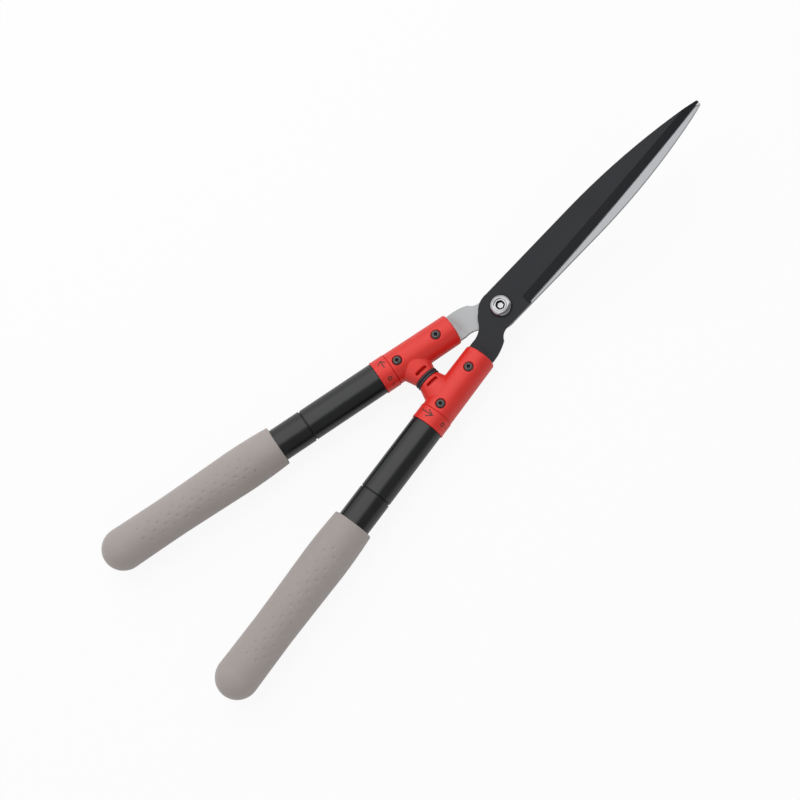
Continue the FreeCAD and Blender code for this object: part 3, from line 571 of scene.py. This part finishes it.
red_nylon, nodes, shader, place = new_finish("red_nylon", Specular_IOR_Level=0.5)
grain = noise(nodes, place, 2200.0, detail=2.0)
flow = noise(nodes, place, 55.0, detail=4.0, distortion=0.6)
rub = noise(nodes, place, (500.0, 120.0, 500.0), detail=4.0)
scuffed = (rub > 0.7) * (flow > 0.5) * 0.35
nodes.set(shader["Base Color"], mixed(
    nodes, scuffed, mixed(nodes, flow, NYLON_RED, NYLON_RED_LIGHT), NYLON_SCUFF))
nodes.set(shader["Roughness"], 0.32 + flow * 0.1 + scuffed * 0.3)
raise_surface(nodes, shader, grain + flow * 0.8, 0.018 * MM)

for side in ("left", "right"):
    node = side + "_housing"
    shell = worked(whole(node),
                   ("REMESH", {"mode": "VOXEL", "voxel_size": HOUSING_VOXEL,
                               "use_smooth_shade": True}),
                   ("SMOOTH", {"factor": 0.5, "iterations": HOUSING_BLEND}))
    show(side + "_shell", shell, side + "_half", "red_nylon", red_nylon, node)


# Housing screws and nuts
# Two black button head screws with hexagon sockets go down through each housing, its tang and,
# the rear one, the inner tube. Each is held by a zinc plated nut in a hexagon pocket below.
INNER_TUBE_END = 318 * MM
FRONT_SCREW = 21.4 * MM
REAR_SCREW = 62.4 * MM
SCREW_LOW = -15.0
SCREW_RADIUS = 2.5
SCREW_PITCH = 0.8
SCREW_THREAD_DEPTH = 0.4
SCREW_THREAD_TOP = -8.6
# The button head from its seat over its crown and down its hexagon socket: up from the handle's
# axis, out from the screw's, and 1 where it is hexagonal.
BUTTON_HEAD = ((13.0, 2.5), (13.0, 4.2), (13.6, 4.2), (14.6, 3.65), (15.35, 2.8), (15.6, 2.3),
               (15.45, 1.6, 1), (13.4, 1.6, 1), (13.0, 0))
SCREW_SIDES = 48
SCREW_NUT_LOW = -14.6
SCREW_NUT_TOP = -11.9
SCREW_NUT_HALF = 4.0
OXIDE = (0.085, 0.082, 0.080, 1.0)
OXIDE_RUBBED = (0.19, 0.18, 0.175, 1.0)


def handle_place(side):
    """X runs back along the handle's axis from the elbow, Z up."""
    twist = joints[side + "_twist"]
    back = Vector(twist["axis"])
    return placed(Vector(twist["pos_m"]) - INNER_TUBE_END * back, back, Vector((0, 0, 1)))


def new_tree(name, **inputs):
    """The nodes of a new geometry tree with named inputs."""
    tree = bpy.data.node_groups.new(name, "GeometryNodeTree")
    tree.interface.new_socket("Geometry", in_out="INPUT", socket_type="NodeSocketGeometry")
    for socket, kind in inputs.items():
        tree.interface.new_socket(socket, in_out="INPUT", socket_type="NodeSocket" + kind)
    tree.interface.new_socket("Made", in_out="OUTPUT", socket_type="NodeSocketGeometry")
    return Nodes(tree)


def given(nodes, name):
    """What a geometry tree is given under the name."""
    return nodes.add("NodeGroupInput", {}, {}, output=name)


def shape_given(nodes, name):
    return nodes.add("GeometryNodeObjectInfo", {}, {"Object": given(nodes, name)},
                     output="Geometry")


def make(nodes, geometry):
    """Ends a geometry tree with one mesh of the finish it is given."""
    real = nodes.add("GeometryNodeRealizeInstances", {}, {"Geometry": geometry})
    finished = nodes.add("GeometryNodeSetMaterial", {},
                         {"Geometry": real, "Material": given(nodes, "Finish")})
    nodes.add("NodeGroupOutput", {}, {"Made": finished})


pair = new_tree("fastener_pair", Fastener="Object", First="Vector", Second="Vector",
                Finish="Material")
ends = pair.add("GeometryNodeMeshLine", {"mode": "END_POINTS"}, {
    "Count": 2, "Start Location": given(pair, "First"), "Offset": given(pair, "Second")})
make(pair, pair.add("GeometryNodeInstanceOnPoints", {},
                    {"Points": ends, "Instance": shape_given(pair, "Fastener")}))


def pattern(name, mesh):
    """An object that isn't shown itself, for a tree to repeat."""
    return bpy.data.objects.new(name, mesh)


black_steel, nodes, shader, place = new_finish("black_oxide", Metallic=0.6)
fine = noise(nodes, place, 1900.0, detail=3.0)
broad = noise(nodes, place, 420.0, detail=4.0)
rubbed = (broad > 0.62) * 0.5
upright = placed(Vector((0, 0, 0)), Vector((0, 0, 1)), Vector((1, 0, 0)))
screw = ([(SCREW_LOW, 0), (SCREW_LOW, SCREW_RADIUS - SCREW_THREAD_DEPTH)]
         + threads(SCREW_LOW + SCREW_THREAD_DEPTH, SCREW_THREAD_TOP, SCREW_RADIUS,
                   SCREW_THREAD_DEPTH, SCREW_PITCH)
         + [(SCREW_THREAD_TOP, SCREW_RADIUS), BUTTON_HEAD[0]])
screw_outline = eased(screw, ease=0.1, rounds=2)[:-1] + eased(BUTTON_HEAD, ease=0.25)[1:]
# The whole hexagon socket, its floor too, is painted dark as its shade.
socket_shade = in_socket(nodes, screw_outline, unshaded=0)
nodes.set(shader["Base Color"], mixed(nodes, socket_shade, mixed(nodes, rubbed, OXIDE, OXIDE_RUBBED),
                                      SOCKET_SHADE))
nodes.set(shader["Roughness"], 0.34 + broad * 0.12 + socket_shade * 0.2)
raise_surface(nodes, shader, fine, 0.01 * MM)
screw_pattern = pattern("screw_pattern",
                        turned("screw", screw_outline, upright, sides=SCREW_SIDES))
screw_nut = hexagon_nut(SCREW_NUT_LOW, SCREW_NUT_TOP, SCREW_RADIUS + THREAD_PLAY,
                        SCREW_NUT_HALF, inset=0.1, chamfer=0.4, ease=0.08, rounds=2)
nut_pattern = pattern("nut_pattern",
                      turned("nut", screw_nut, upright, loop=True, sides=SCREW_SIDES))
for side in ("left", "right"):
    front = handle_place(side) @ Vector((FRONT_SCREW, 0, 0))
    rear = handle_place(side) @ Vector((REAR_SCREW, 0, 0))
    for words, repeated, material, slot in (
            ("screws", screw_pattern, black_steel, "black_steel"),
            ("nuts", nut_pattern, zinc_plate, "zinc_plated_steel")):
        mesh = worked(bpy.data.meshes.new(side + "_" + words), ("NODES", {
            "node_group": pair.tree, "Fastener": repeated, "First": front, "Second": rear,
            "Finish": material}))
        show("%s_%s_pair" % (side, words), mesh, side + "_half", slot, material,
             "%s_housing_%s" % (side, words))


# Bumpers
# Two black rubber buffers meet between the stubs when the blades are closed. Each is a thick disc
# with a rounded rim, pressed into its stub by a stem.
STUB_AXIS = 53.151 * MM
# A buffer from its stem's end to its face: inwards from the handle's axis, and out from the
# stub's.
BUFFER = ((14.9, 0), (14.9, 4.4), (15.5, 5.0), (23.9, 5.0), (23.9, 11.6), (24.25, 11.8),
          (25.31, 11.8), (26.06, 11.0), (26.06, 0))
RUBBER_BLACK = (0.009, 0.009, 0.011, 1.0)
RUBBER_DUSTY = (0.026, 0.027, 0.034, 1.0)

black_rubber, nodes, shader, place = new_finish("black_rubber")
bloom = noise(nodes, place, 240.0, detail=5.0)
fine = noise(nodes, place, 3000.0, detail=2.0)
nodes.set(shader["Base Color"], mixed(nodes, bloom, RUBBER_BLACK, RUBBER_DUSTY))
nodes.set(shader["Roughness"], 0.5 + bloom * 0.2)
raise_surface(nodes, shader, fine, 0.012 * MM)

for side, inward in (("left", 1), ("right", -1)):
    origin = handle_place(side) @ Vector((STUB_AXIS, 0, 0))
    mesh = turned(side + "_buffer", eased(BUFFER, ease=0.4),
                  placed(origin, Vector((inward, 0, 0)), Vector((0, 0, 1))))
    show(side + "_buffer", mesh, side + "_half", "black_rubber", black_rubber, side + "_bumper")


# Collars
# A red nylon collar is pressed onto each housing's spigot and closes the joint to the handle tube.
# It has a lip at each end, and a dark arrow, ring and tick that show which way the grip locks.
# The collar's section, from its bore's front end: back from the elbow, and out.
COLLAR = ((70.2, 13.65), (83.8, 13.65), (83.8, 15.8), (82.2, 15.8), (81.6, 15.6), (72.0, 15.6),
          (71.4, 15.75), (70.2, 15.75))
COLLAR_RADIUS = 15.8
COLLAR_WAIST = 15.6
MARK_WIDTH = 1.05
MARK_LIFT = 0.03
STROKE_STEP = 0.5
# The marks' dark brown is partly their own colour and partly painted shade of their engraving.
MARK_BROWN = (0.050, 0.012, 0.009, 1.0)
MARK_SHADE = (0.105, 0.018, 0.012, 1.0)
RING_RADIUS = 1.6
RING_STEPS = 16
# Each collar's arrow and tick as strokes, and its ring's centre, in millimetres back from the
# elbow and degrees round from the top.
MARKS = {"left": ((((75.3, -2.0), (75.3, -31.0)), ((72.0, -15.0), (75.3, -31.0), (79.4, -19.0)),
                   ((74.6, 58.0), (77.2, 66.0))), (76.3, 38.0)),
         "right": ((((75.4, -44.0), (75.4, 4.0)), ((72.4, -18.0), (75.4, 4.0), (79.2, -16.0)),
                    ((74.8, 70.0), (77.0, 75.0))), (76.2, 50.0))}

mark_brown, nodes, shader, place = new_finish("mark_brown")
cloud = noise(nodes, place, 900.0, detail=3.0)
nodes.set(shader["Base Color"], mixed(nodes, cloud, MARK_BROWN, MARK_SHADE))
nodes.set(shader["Roughness"], 0.5 + cloud * 0.2)


def strokes(name, paths, radius, place):
    """Flat strokes wrapped round a cylinder, each a path of places along and round it."""
    skin = bmesh.new()
    for path in paths:
        flat = [Vector((along, radians(turn) * radius)) for along, turn in path]
        dense = [flat[0]]
        for first, second in zip(flat, flat[1:]):
            count = ceil((second - first).length / STROKE_STEP)
            dense += [first.lerp(second, step / count) for step in range(1, count + 1)]
        sides = []
        for index, point in enumerate(dense):
            run = dense[min(index + 1, len(dense) - 1)] - dense[max(index - 1, 0)]
            normal = Vector((-run.y, run.x)).normalized() * MARK_WIDTH / 2
            sides.append([point + normal, point - normal])
        rows = [[skin.verts.new((p.x, out * sin(p.y / radius), out * cos(p.y / radius)))
                 for p, out in ((a, radius + MARK_LIFT), (b, radius + MARK_LIFT),
                                (b, radius - MARK_LIFT), (a, radius - MARK_LIFT))]
                for a, b in sides]
        for before, after in zip(rows, rows[1:]):
            for index, corner in enumerate(before):
                beside = (index + 1) % len(before)
                skin.faces.new((corner, before[beside], after[beside], after[index]))
        skin.faces.new(rows[0])
        skin.faces.new(rows[-1])
    bmesh.ops.recalc_face_normals(skin, faces=skin.faces)
    skin.transform(place @ Matrix.Scale(MM, 4))
    mesh = bpy.data.meshes.new(name)
    skin.to_mesh(mesh)
    skin.free()
    return mesh


collar = eased(COLLAR, ease=0.35, loop=True)
turns = [2 * pi * step / RING_STEPS for step in range(RING_STEPS + 1)]
for side in ("left", "right"):
    place = handle_place(side)
    show(side + "_ring_collar", turned(side + "_ring_collar", collar, place, loop=True),
         side + "_half", "red_nylon", red_nylon, side + "_collar")
    lines, (along, turn) = MARKS[side]
    ring = [(along + RING_RADIUS * cos(angle),
             turn + RING_RADIUS * sin(angle) * 360 / (2 * pi * COLLAR_RADIUS))
            for angle in turns]
    marks = strokes(side + "_marks", lines + (ring,), COLLAR_WAIST, place)
    show(side + "_marks", marks, side + "_half", "red_nylon", mark_brown)


# Inner tubes and locks
# A drawn aluminium tube is fixed in each housing and runs inside the handle. At its end an
# eccentric lock of black plastic with a nylon cam ring jams the outer tube when the grip twists.
ALUMINIUM = (0.60, 0.61, 0.63, 1.0)
ALUMINIUM_DULL = (0.46, 0.47, 0.49, 1.0)
PLASTIC_BLACK = (0.0045, 0.0045, 0.005, 1.0)
PLASTIC_GREY = (0.010, 0.010, 0.011, 1.0)

aluminium, nodes, shader, place = new_finish("drawn_aluminium", Metallic=1.0)
lines = noise(nodes, place, (1600.0, 40.0, 1600.0), detail=3.0)
broad = noise(nodes, place, 40.0, detail=3.0)
nodes.set(shader["Base Color"], mixed(nodes, lines, ALUMINIUM_DULL, ALUMINIUM))
nodes.set(shader["Roughness"], 0.26 + broad * 0.16)
raise_surface(nodes, shader, lines, 0.008 * MM)

black_plastic, nodes, shader, place = new_finish("black_plastic", Specular_IOR_Level=0.45)
fine = noise(nodes, place, 1700.0, detail=2.0)
broad = noise(nodes, place, 70.0, detail=4.0)
nodes.set(shader["Base Color"], mixed(nodes, broad, PLASTIC_BLACK, PLASTIC_GREY))
nodes.set(shader["Roughness"], 0.2 + broad * 0.08)
raise_surface(nodes, shader, fine, 0.014 * MM)

for side in ("left", "right"):
    for node, material in (("inner_tube", aluminium), ("lock_core", black_plastic),
                           ("lock_cam", white_nylon), ("lock_washer", zinc_plate),
                           ("lock_screw", zinc_plate)):
        paint("%s_%s" % (side, node), material)


# Outer tubes and sleeves
# An aluminium tube slides on the inner one in a nylon guide bush. A thin walled sleeve, painted
# satin black, covers it from the collar to a narrow groove in front of the grip's core.
SLEEVE_FRONT = 84.1
SLEEVE_REAR = 158.3
SLEEVE_BORE = 14.05
SLEEVE_RADIUS = 15.0
PAINT_BLACK = (0.0045, 0.005, 0.0055, 1.0)
PAINT_GREY = (0.010, 0.0105, 0.012, 1.0)
PAINT_SCRATCH = (0.055, 0.055, 0.06, 1.0)

black_paint, nodes, shader, place = new_finish("black_paint", Specular_IOR_Level=0.46)
around = nodes.add("ShaderNodeUVMap", {"uv_map": "around"}, {})
scratches = noise(nodes, around, (360.0, 540.0, 1.0), detail=5.0, distortion=0.4)
peel = noise(nodes, place, 900.0, detail=2.0)
broad = noise(nodes, place, 50.0, detail=4.0)
scratched = (scratches > 0.72) * (broad > 0.5) * 0.5
nodes.set(shader["Base Color"], mixed(
    nodes, scratched, mixed(nodes, broad, PAINT_BLACK, PAINT_GREY), PAINT_SCRATCH))
nodes.set(shader["Roughness"], 0.2 + broad * 0.08 + scratched * 0.1)
raise_surface(nodes, shader, peel, 0.02 * MM)

black_anodised, nodes, shader, place = new_finish("black_anodised", Metallic=0.5)
lines = noise(nodes, place, (1400.0, 50.0, 1400.0), detail=3.0)
nodes.set(shader["Base Color"], mixed(nodes, lines, PAINT_BLACK, PAINT_GREY))
nodes.set(shader["Roughness"], 0.4 + lines * 0.15)
raise_surface(nodes, shader, lines, 0.008 * MM)

sleeve = eased([(SLEEVE_FRONT, SLEEVE_BORE), (SLEEVE_REAR, SLEEVE_BORE),
                (SLEEVE_REAR, SLEEVE_RADIUS), (SLEEVE_FRONT, SLEEVE_RADIUS)],
               ease=0.3, loop=True)
for side in ("left", "right"):
    paint(side + "_outer_tube", black_anodised)
    paint(side + "_guide_bush", white_nylon)
    show(side + "_painted_sleeve", turned(side + "_painted_sleeve", sleeve, handle_place(side),
                                          loop=True),
         side + "_handle", "black_painted_tube", black_paint, side + "_sleeve")


# Grip cores
# A black polypropylene core is moulded onto the rear of each outer tube. It shows between the
# groove and the soft grip, and carries the grip's dome on its closed end.
CORE_FRONT = 159.7
CORE_STEP = 193.3
CORE_END = 355.0
CORE_RADIUS = 15.2
CORE_REAR_RADIUS = 16.0
CORE_END_RADIUS = 13.0
TUBE_END = 352.0

core = eased([(TUBE_END, 0), (TUBE_END, SLEEVE_BORE), (CORE_FRONT, SLEEVE_BORE)], ease=0.3)
core += eased([(CORE_FRONT, SLEEVE_BORE), (CORE_FRONT, CORE_RADIUS), (CORE_STEP, CORE_RADIUS),
               (CORE_STEP, CORE_REAR_RADIUS), (TUBE_END, CORE_REAR_RADIUS),
               (CORE_END, CORE_END_RADIUS), (CORE_END, 0)], ease=0.4)[1:]
for side in ("left", "right"):
    show(side + "_core_moulding", turned(side + "_core_moulding", core, handle_place(side)),
         side + "_handle", "black_plastic", black_plastic, side + "_grip_core")


# Grips
# Grey soft rubber is moulded over each core: a front lip, a swell for the thumb, a waist and a
# domed end. Rows of small dimples, set in quincunx, cover the middle of its upper and under side.
GRIP_FRONT = 190.3
GRIP_LIP = 1.1
LIP_RADIUS = 18.7
LIP_SPACING = 0.4
# How far a quarter circle's middle lies in from the corner that it rounds, in radii.
CORNER_SHARE = 0.293
GRIP_PLAY = 0.05
MOUTH_CHAMFER = 0.4
STEP_RUN = 0.2
SWELL = (232.0, 20.1)
WAIST = (300.0, 18.7)
DOME = (351.6, 19.2)
# How far along and out the middle of each run lies, from the lip to the swell, waist and dome.
RUN_MIDDLES = ((0.5, 0.78), (0.45, 0.48), (0.4, 0.25))
# The dimpled band starts at a length along the profile, and leaves out points near its ends.
BAND_START = 24.0
BAND_MARGIN = 0.3
BAND_WELD = 0.02 * MM
ROW_STEP = 5.9
ROWS = 20
COLUMNS = 24
COLUMN_STEP = 5.2
CELL_EDGES = 4
PANEL_HALF = radians(36)
DIMPLE_RADIUS = 1.15
DIMPLE_DEPTH = 0.48
# A dimple's rings from its rim in: shares of its radius, and of its depth.
DIMPLE_RINGS = ((1.12, 0), (0.9, -0.3), (0.5, -0.85))
# How far each grip is turned about its tube, from lying with its dimples straight up.
GRIP_TURN = radians(-17)
GRIP_GREY = (0.335, 0.295, 0.279, 1.0)
GRIP_LIGHT = (0.385, 0.343, 0.326, 1.0)
GRIP_DUST = (0.47, 0.43, 0.41, 1.0)


def arc(first, middle, last, spacing=1.0):
    """Points along the circle through three points, after the first one, up to the last."""
    ax, ay = first
    bx, by = middle
    cx, cy = last
    d = 2 * (ax * (by - cy) + bx * (cy - ay) + cx * (ay - by))
    a, b, c = ax * ax + ay * ay, bx * bx + by * by, cx * cx + cy * cy
    centre = Vector(((a * (by - cy) + b * (cy - ay) + c * (ay - by)) / d,
                     (a * (cx - bx) + b * (ax - cx) + c * (bx - ax)) / d))
    start, end = Vector(first) - centre, Vector(last) - centre
    angle = acos(max(-1.0, min(1.0, start.dot(end) / start.length / end.length)))
    count = max(2, ceil(angle * start.length / spacing))
    points = []
    for step in range(1, count + 1):
        share = step / count
        point = (start * sin((1 - share) * angle) + end * sin(share * angle)) / sin(angle)
        points.append(centre + point)
    return points


def between(first, last, along, out):
    return (first[0] + along * (last[0] - first[0]), first[1] + out * (last[1] - first[1]))


nose = (GRIP_FRONT + GRIP_LIP, LIP_RADIUS)
profile = [Vector(nose)]
for first, last, middle in zip((nose, SWELL, WAIST), (SWELL, WAIST, DOME), RUN_MIDDLES):
    profile += arc(first, between(first, last, *middle), last)
lengths = [0.0]
for first, second in zip(profile, profile[1:]):
    lengths.append(lengths[-1] + (second - first).length)


def at_length(length):
    """The profile's point at a length along it."""
    for index in range(1, len(profile)):
        if lengths[index] >= length:
            share = (length - lengths[index - 1]) / (lengths[index] - lengths[index - 1])
            return profile[index - 1].lerp(profile[index], share)
    return profile[-1]


band_end = BAND_START + ROWS * ROW_STEP
inset = CORNER_SHARE * GRIP_LIP
bore = CORE_RADIUS + GRIP_PLAY
rear_bore = CORE_REAR_RADIUS + GRIP_PLAY
front_part = [at_length(BAND_START)]
front_part += [point for point, length in zip(profile, lengths)
               if length < BAND_START - BAND_MARGIN][::-1]
front_part += arc(nose, (GRIP_FRONT + inset, LIP_RADIUS - inset),
                  (GRIP_FRONT, LIP_RADIUS - GRIP_LIP), LIP_SPACING)
front_part += [(GRIP_FRONT, bore + MOUTH_CHAMFER), (GRIP_FRONT + MOUTH_CHAMFER, bore),
               (CORE_STEP - STEP_RUN, bore), (CORE_STEP, rear_bore), (TUBE_END, rear_bore),
               (CORE_END + GRIP_PLAY, CORE_END_RADIUS + GRIP_PLAY), (CORE_END + GRIP_PLAY, 0)]
dome_place, dome_radius = DOME
dome_tip = (dome_place + dome_radius, 0)
rear_part = [at_length(band_end)]
rear_part += [point for point, length in zip(profile, lengths)
              if length > band_end + BAND_MARGIN]
rear_part += arc(DOME, (dome_place + dome_radius * sin(pi / 4), dome_radius * cos(pi / 4)),
                 dome_tip)[:-1]
rear_part += [dome_tip]
flat = Matrix.Identity(4)
shells = [turned(name, [Vector((*point, 0)[:3]) for point in part], flat)
          for name, part in (("grip_front", front_part), ("grip_rear", rear_part))]


def cell(name, dimpled):
    """One step of the grip's skin, lying flat, plain or with a dimple."""
    skin = bmesh.new()
    half = Vector((ROW_STEP / 2, COLUMN_STEP / 2)) * MM
    if dimpled:
        steps = [1 - 2 * step / CELL_EDGES for step in range(CELL_EDGES)]
        rim = [Vector((step, 1)) for step in steps] + [Vector((-1, step)) for step in steps]
        rim += [-point for point in rim]
        rim = [Vector((point.x * half.x, point.y * half.y, 0)) for point in rim]
        rings = [rim]
        for radius, depth in DIMPLE_RINGS:
            rings.append([point.normalized() * radius * DIMPLE_RADIUS * MM
                          + Vector((0, 0, depth * DIMPLE_DEPTH * MM)) for point in rim])
        rows = [[skin.verts.new(point) for point in ring] for ring in rings]
        centre = skin.verts.new((0, 0, -DIMPLE_DEPTH * MM))
        for index in range(len(rim)):
            after = (index + 1) % len(rim)
            for outer, inner in zip(rows, rows[1:]):
                skin.faces.new((outer[index], outer[after], inner[after], inner[index]))
            skin.faces.new((rows[-1][index], rows[-1][after], centre))
    else:
        bmesh.ops.create_grid(skin, x_segments=CELL_EDGES, y_segments=CELL_EDGES, size=1.0)
        for vertex in skin.verts:
            vertex.co = (vertex.co.x * half.x, vertex.co.y * half.y, 0)
    mesh = bpy.data.meshes.new(name)
    skin.to_mesh(mesh)
    skin.free()
    return mesh


line = bpy.data.meshes.new("grip_profile")
line.from_pydata([(point.x * MM, 0, point.y * MM) for point in profile],
                 [(index, index + 1) for index in range(len(profile) - 1)], [])

skin = new_tree(
    "dimpled_grip", Dimple="Object", Plain="Object", Profile="Object", FrontPart="Object",
    RearPart="Object", Rows="Int", Columns="Int", RowStep="Float", ColumnStep="Float",
    BandStart="Float", PanelHalf="Float", Finish="Material")
number = {name: Value(skin.tree, given(skin, name))
          for name in ("Rows", "Columns", "RowStep", "ColumnStep", "BandStart", "PanelHalf")}
grid = skin.add("GeometryNodeMeshGrid", {}, {
    "Size X": (number["Rows"] - 1) * number["RowStep"],
    "Size Y": (number["Columns"] - 1) * number["ColumnStep"],
    "Vertices X": number["Rows"], "Vertices Y": number["Columns"]})
spot = skin.add("GeometryNodeInputPosition", {}, {})
spot_x, spot_y, spot_z = (reach(skin, spot, axis) for axis in "XYZ")
girth = number["Columns"] * number["ColumnStep"]
row = spot_x / number["RowStep"] + number["Rows"] * 0.5
column = spot_y / number["ColumnStep"] + number["Columns"] * 0.5
odd = (row - row % 1.0 + column - column % 1.0) % 2.0 > 0.5
turn = spot_y * (2 * pi) / girth
turn_sine, turn_cosine, panel_sine = (
    skin.value("ShaderNodeMath", {"operation": operation}, {0: angle}) for operation, angle in (
        ("SINE", turn), ("COSINE", turn), ("SINE", number["PanelHalf"])))
in_panel = turn_sine * turn_sine < panel_sine * panel_sine
dimpled = odd * in_panel
grids = [skin.add("GeometryNodeInstanceOnPoints", {}, {
    "Points": grid, "Selection": chosen, "Instance": shape_given(skin, source)})
         for source, chosen in (("Plain", 1 - dimpled), ("Dimple", dimpled))]
join = skin.add("GeometryNodeJoinGeometry", {}, {"Geometry": grids})
band = skin.add("GeometryNodeRealizeInstances", {}, {"Geometry": join})
profile_line = skin.add("GeometryNodeMeshToCurve", {}, {"Mesh": shape_given(skin, "Profile")})
length = spot_x + number["Rows"] * number["RowStep"] * 0.5 + number["BandStart"]
on_line = skin.add("GeometryNodeSampleCurve", {"mode": "LENGTH", "use_all_curves": True},
                   {"Curves": profile_line, "Length": length}, output="Position")
out = reach(skin, on_line, "Z") + spot_z
wrapped = skin.add("ShaderNodeCombineXYZ", {}, {
    "X": reach(skin, on_line, "X"), "Y": out * turn_sine, "Z": out * turn_cosine})
band = skin.add("GeometryNodeSetPosition", {}, {"Geometry": band, "Position": wrapped})
join = skin.add("GeometryNodeJoinGeometry", {}, {"Geometry": [
    band, shape_given(skin, "FrontPart"), shape_given(skin, "RearPart")]})
closed = skin.add("GeometryNodeMergeByDistance", {}, {"Geometry": join, "Distance": BAND_WELD})
make(skin, skin.add("GeometryNodeSetShadeSmooth", {}, {"Geometry": closed}))

soft_grip, nodes, shader, place = new_finish("soft_grip", Sheen_Weight=0.25,
                                             Sheen_Roughness=0.6)
sand = noise(nodes, place, 2600.0, detail=3.0)
cloud = noise(nodes, place, 42.0, detail=5.0, distortion=0.5)
dust = noise(nodes, place, 700.0, detail=3.0)
nodes.set(shader["Base Color"], mixed(
    nodes, (dust > 0.66) * 0.35, mixed(nodes, cloud, GRIP_GREY, GRIP_LIGHT), GRIP_DUST))
nodes.set(shader["Roughness"], 0.66 + cloud * 0.14)
raise_surface(nodes, shader, sand + cloud * 0.4, 0.03 * MM)

made_skin = worked(bpy.data.meshes.new("grip_skin"), ("NODES", {
    "node_group": skin.tree, "Dimple": pattern("dimple_cell", cell("dimple_cell", True)),
    "Plain": pattern("plain_cell", cell("plain_cell", False)),
    "Profile": pattern("grip_profile", line), "FrontPart": pattern("grip_front", shells[0]),
    "RearPart": pattern("grip_rear", shells[1]), "Rows": ROWS, "Columns": COLUMNS,
    "RowStep": ROW_STEP * MM, "ColumnStep": COLUMN_STEP * MM, "BandStart": BAND_START * MM,
    "PanelHalf": PANEL_HALF, "Finish": soft_grip}))
loose = bmesh.new()
loose.from_mesh(made_skin)
bmesh.ops.recalc_face_normals(loose, faces=loose.faces)
loose.to_mesh(made_skin)
loose.free()
for side in ("left", "right"):
    mesh = made_skin.copy()
    mesh.transform(handle_place(side) @ Matrix.Rotation(GRIP_TURN, 4, "X"))
    show(side + "_soft_grip", mesh, side + "_handle", "grey_soft_grip", soft_grip, side + "_grip")
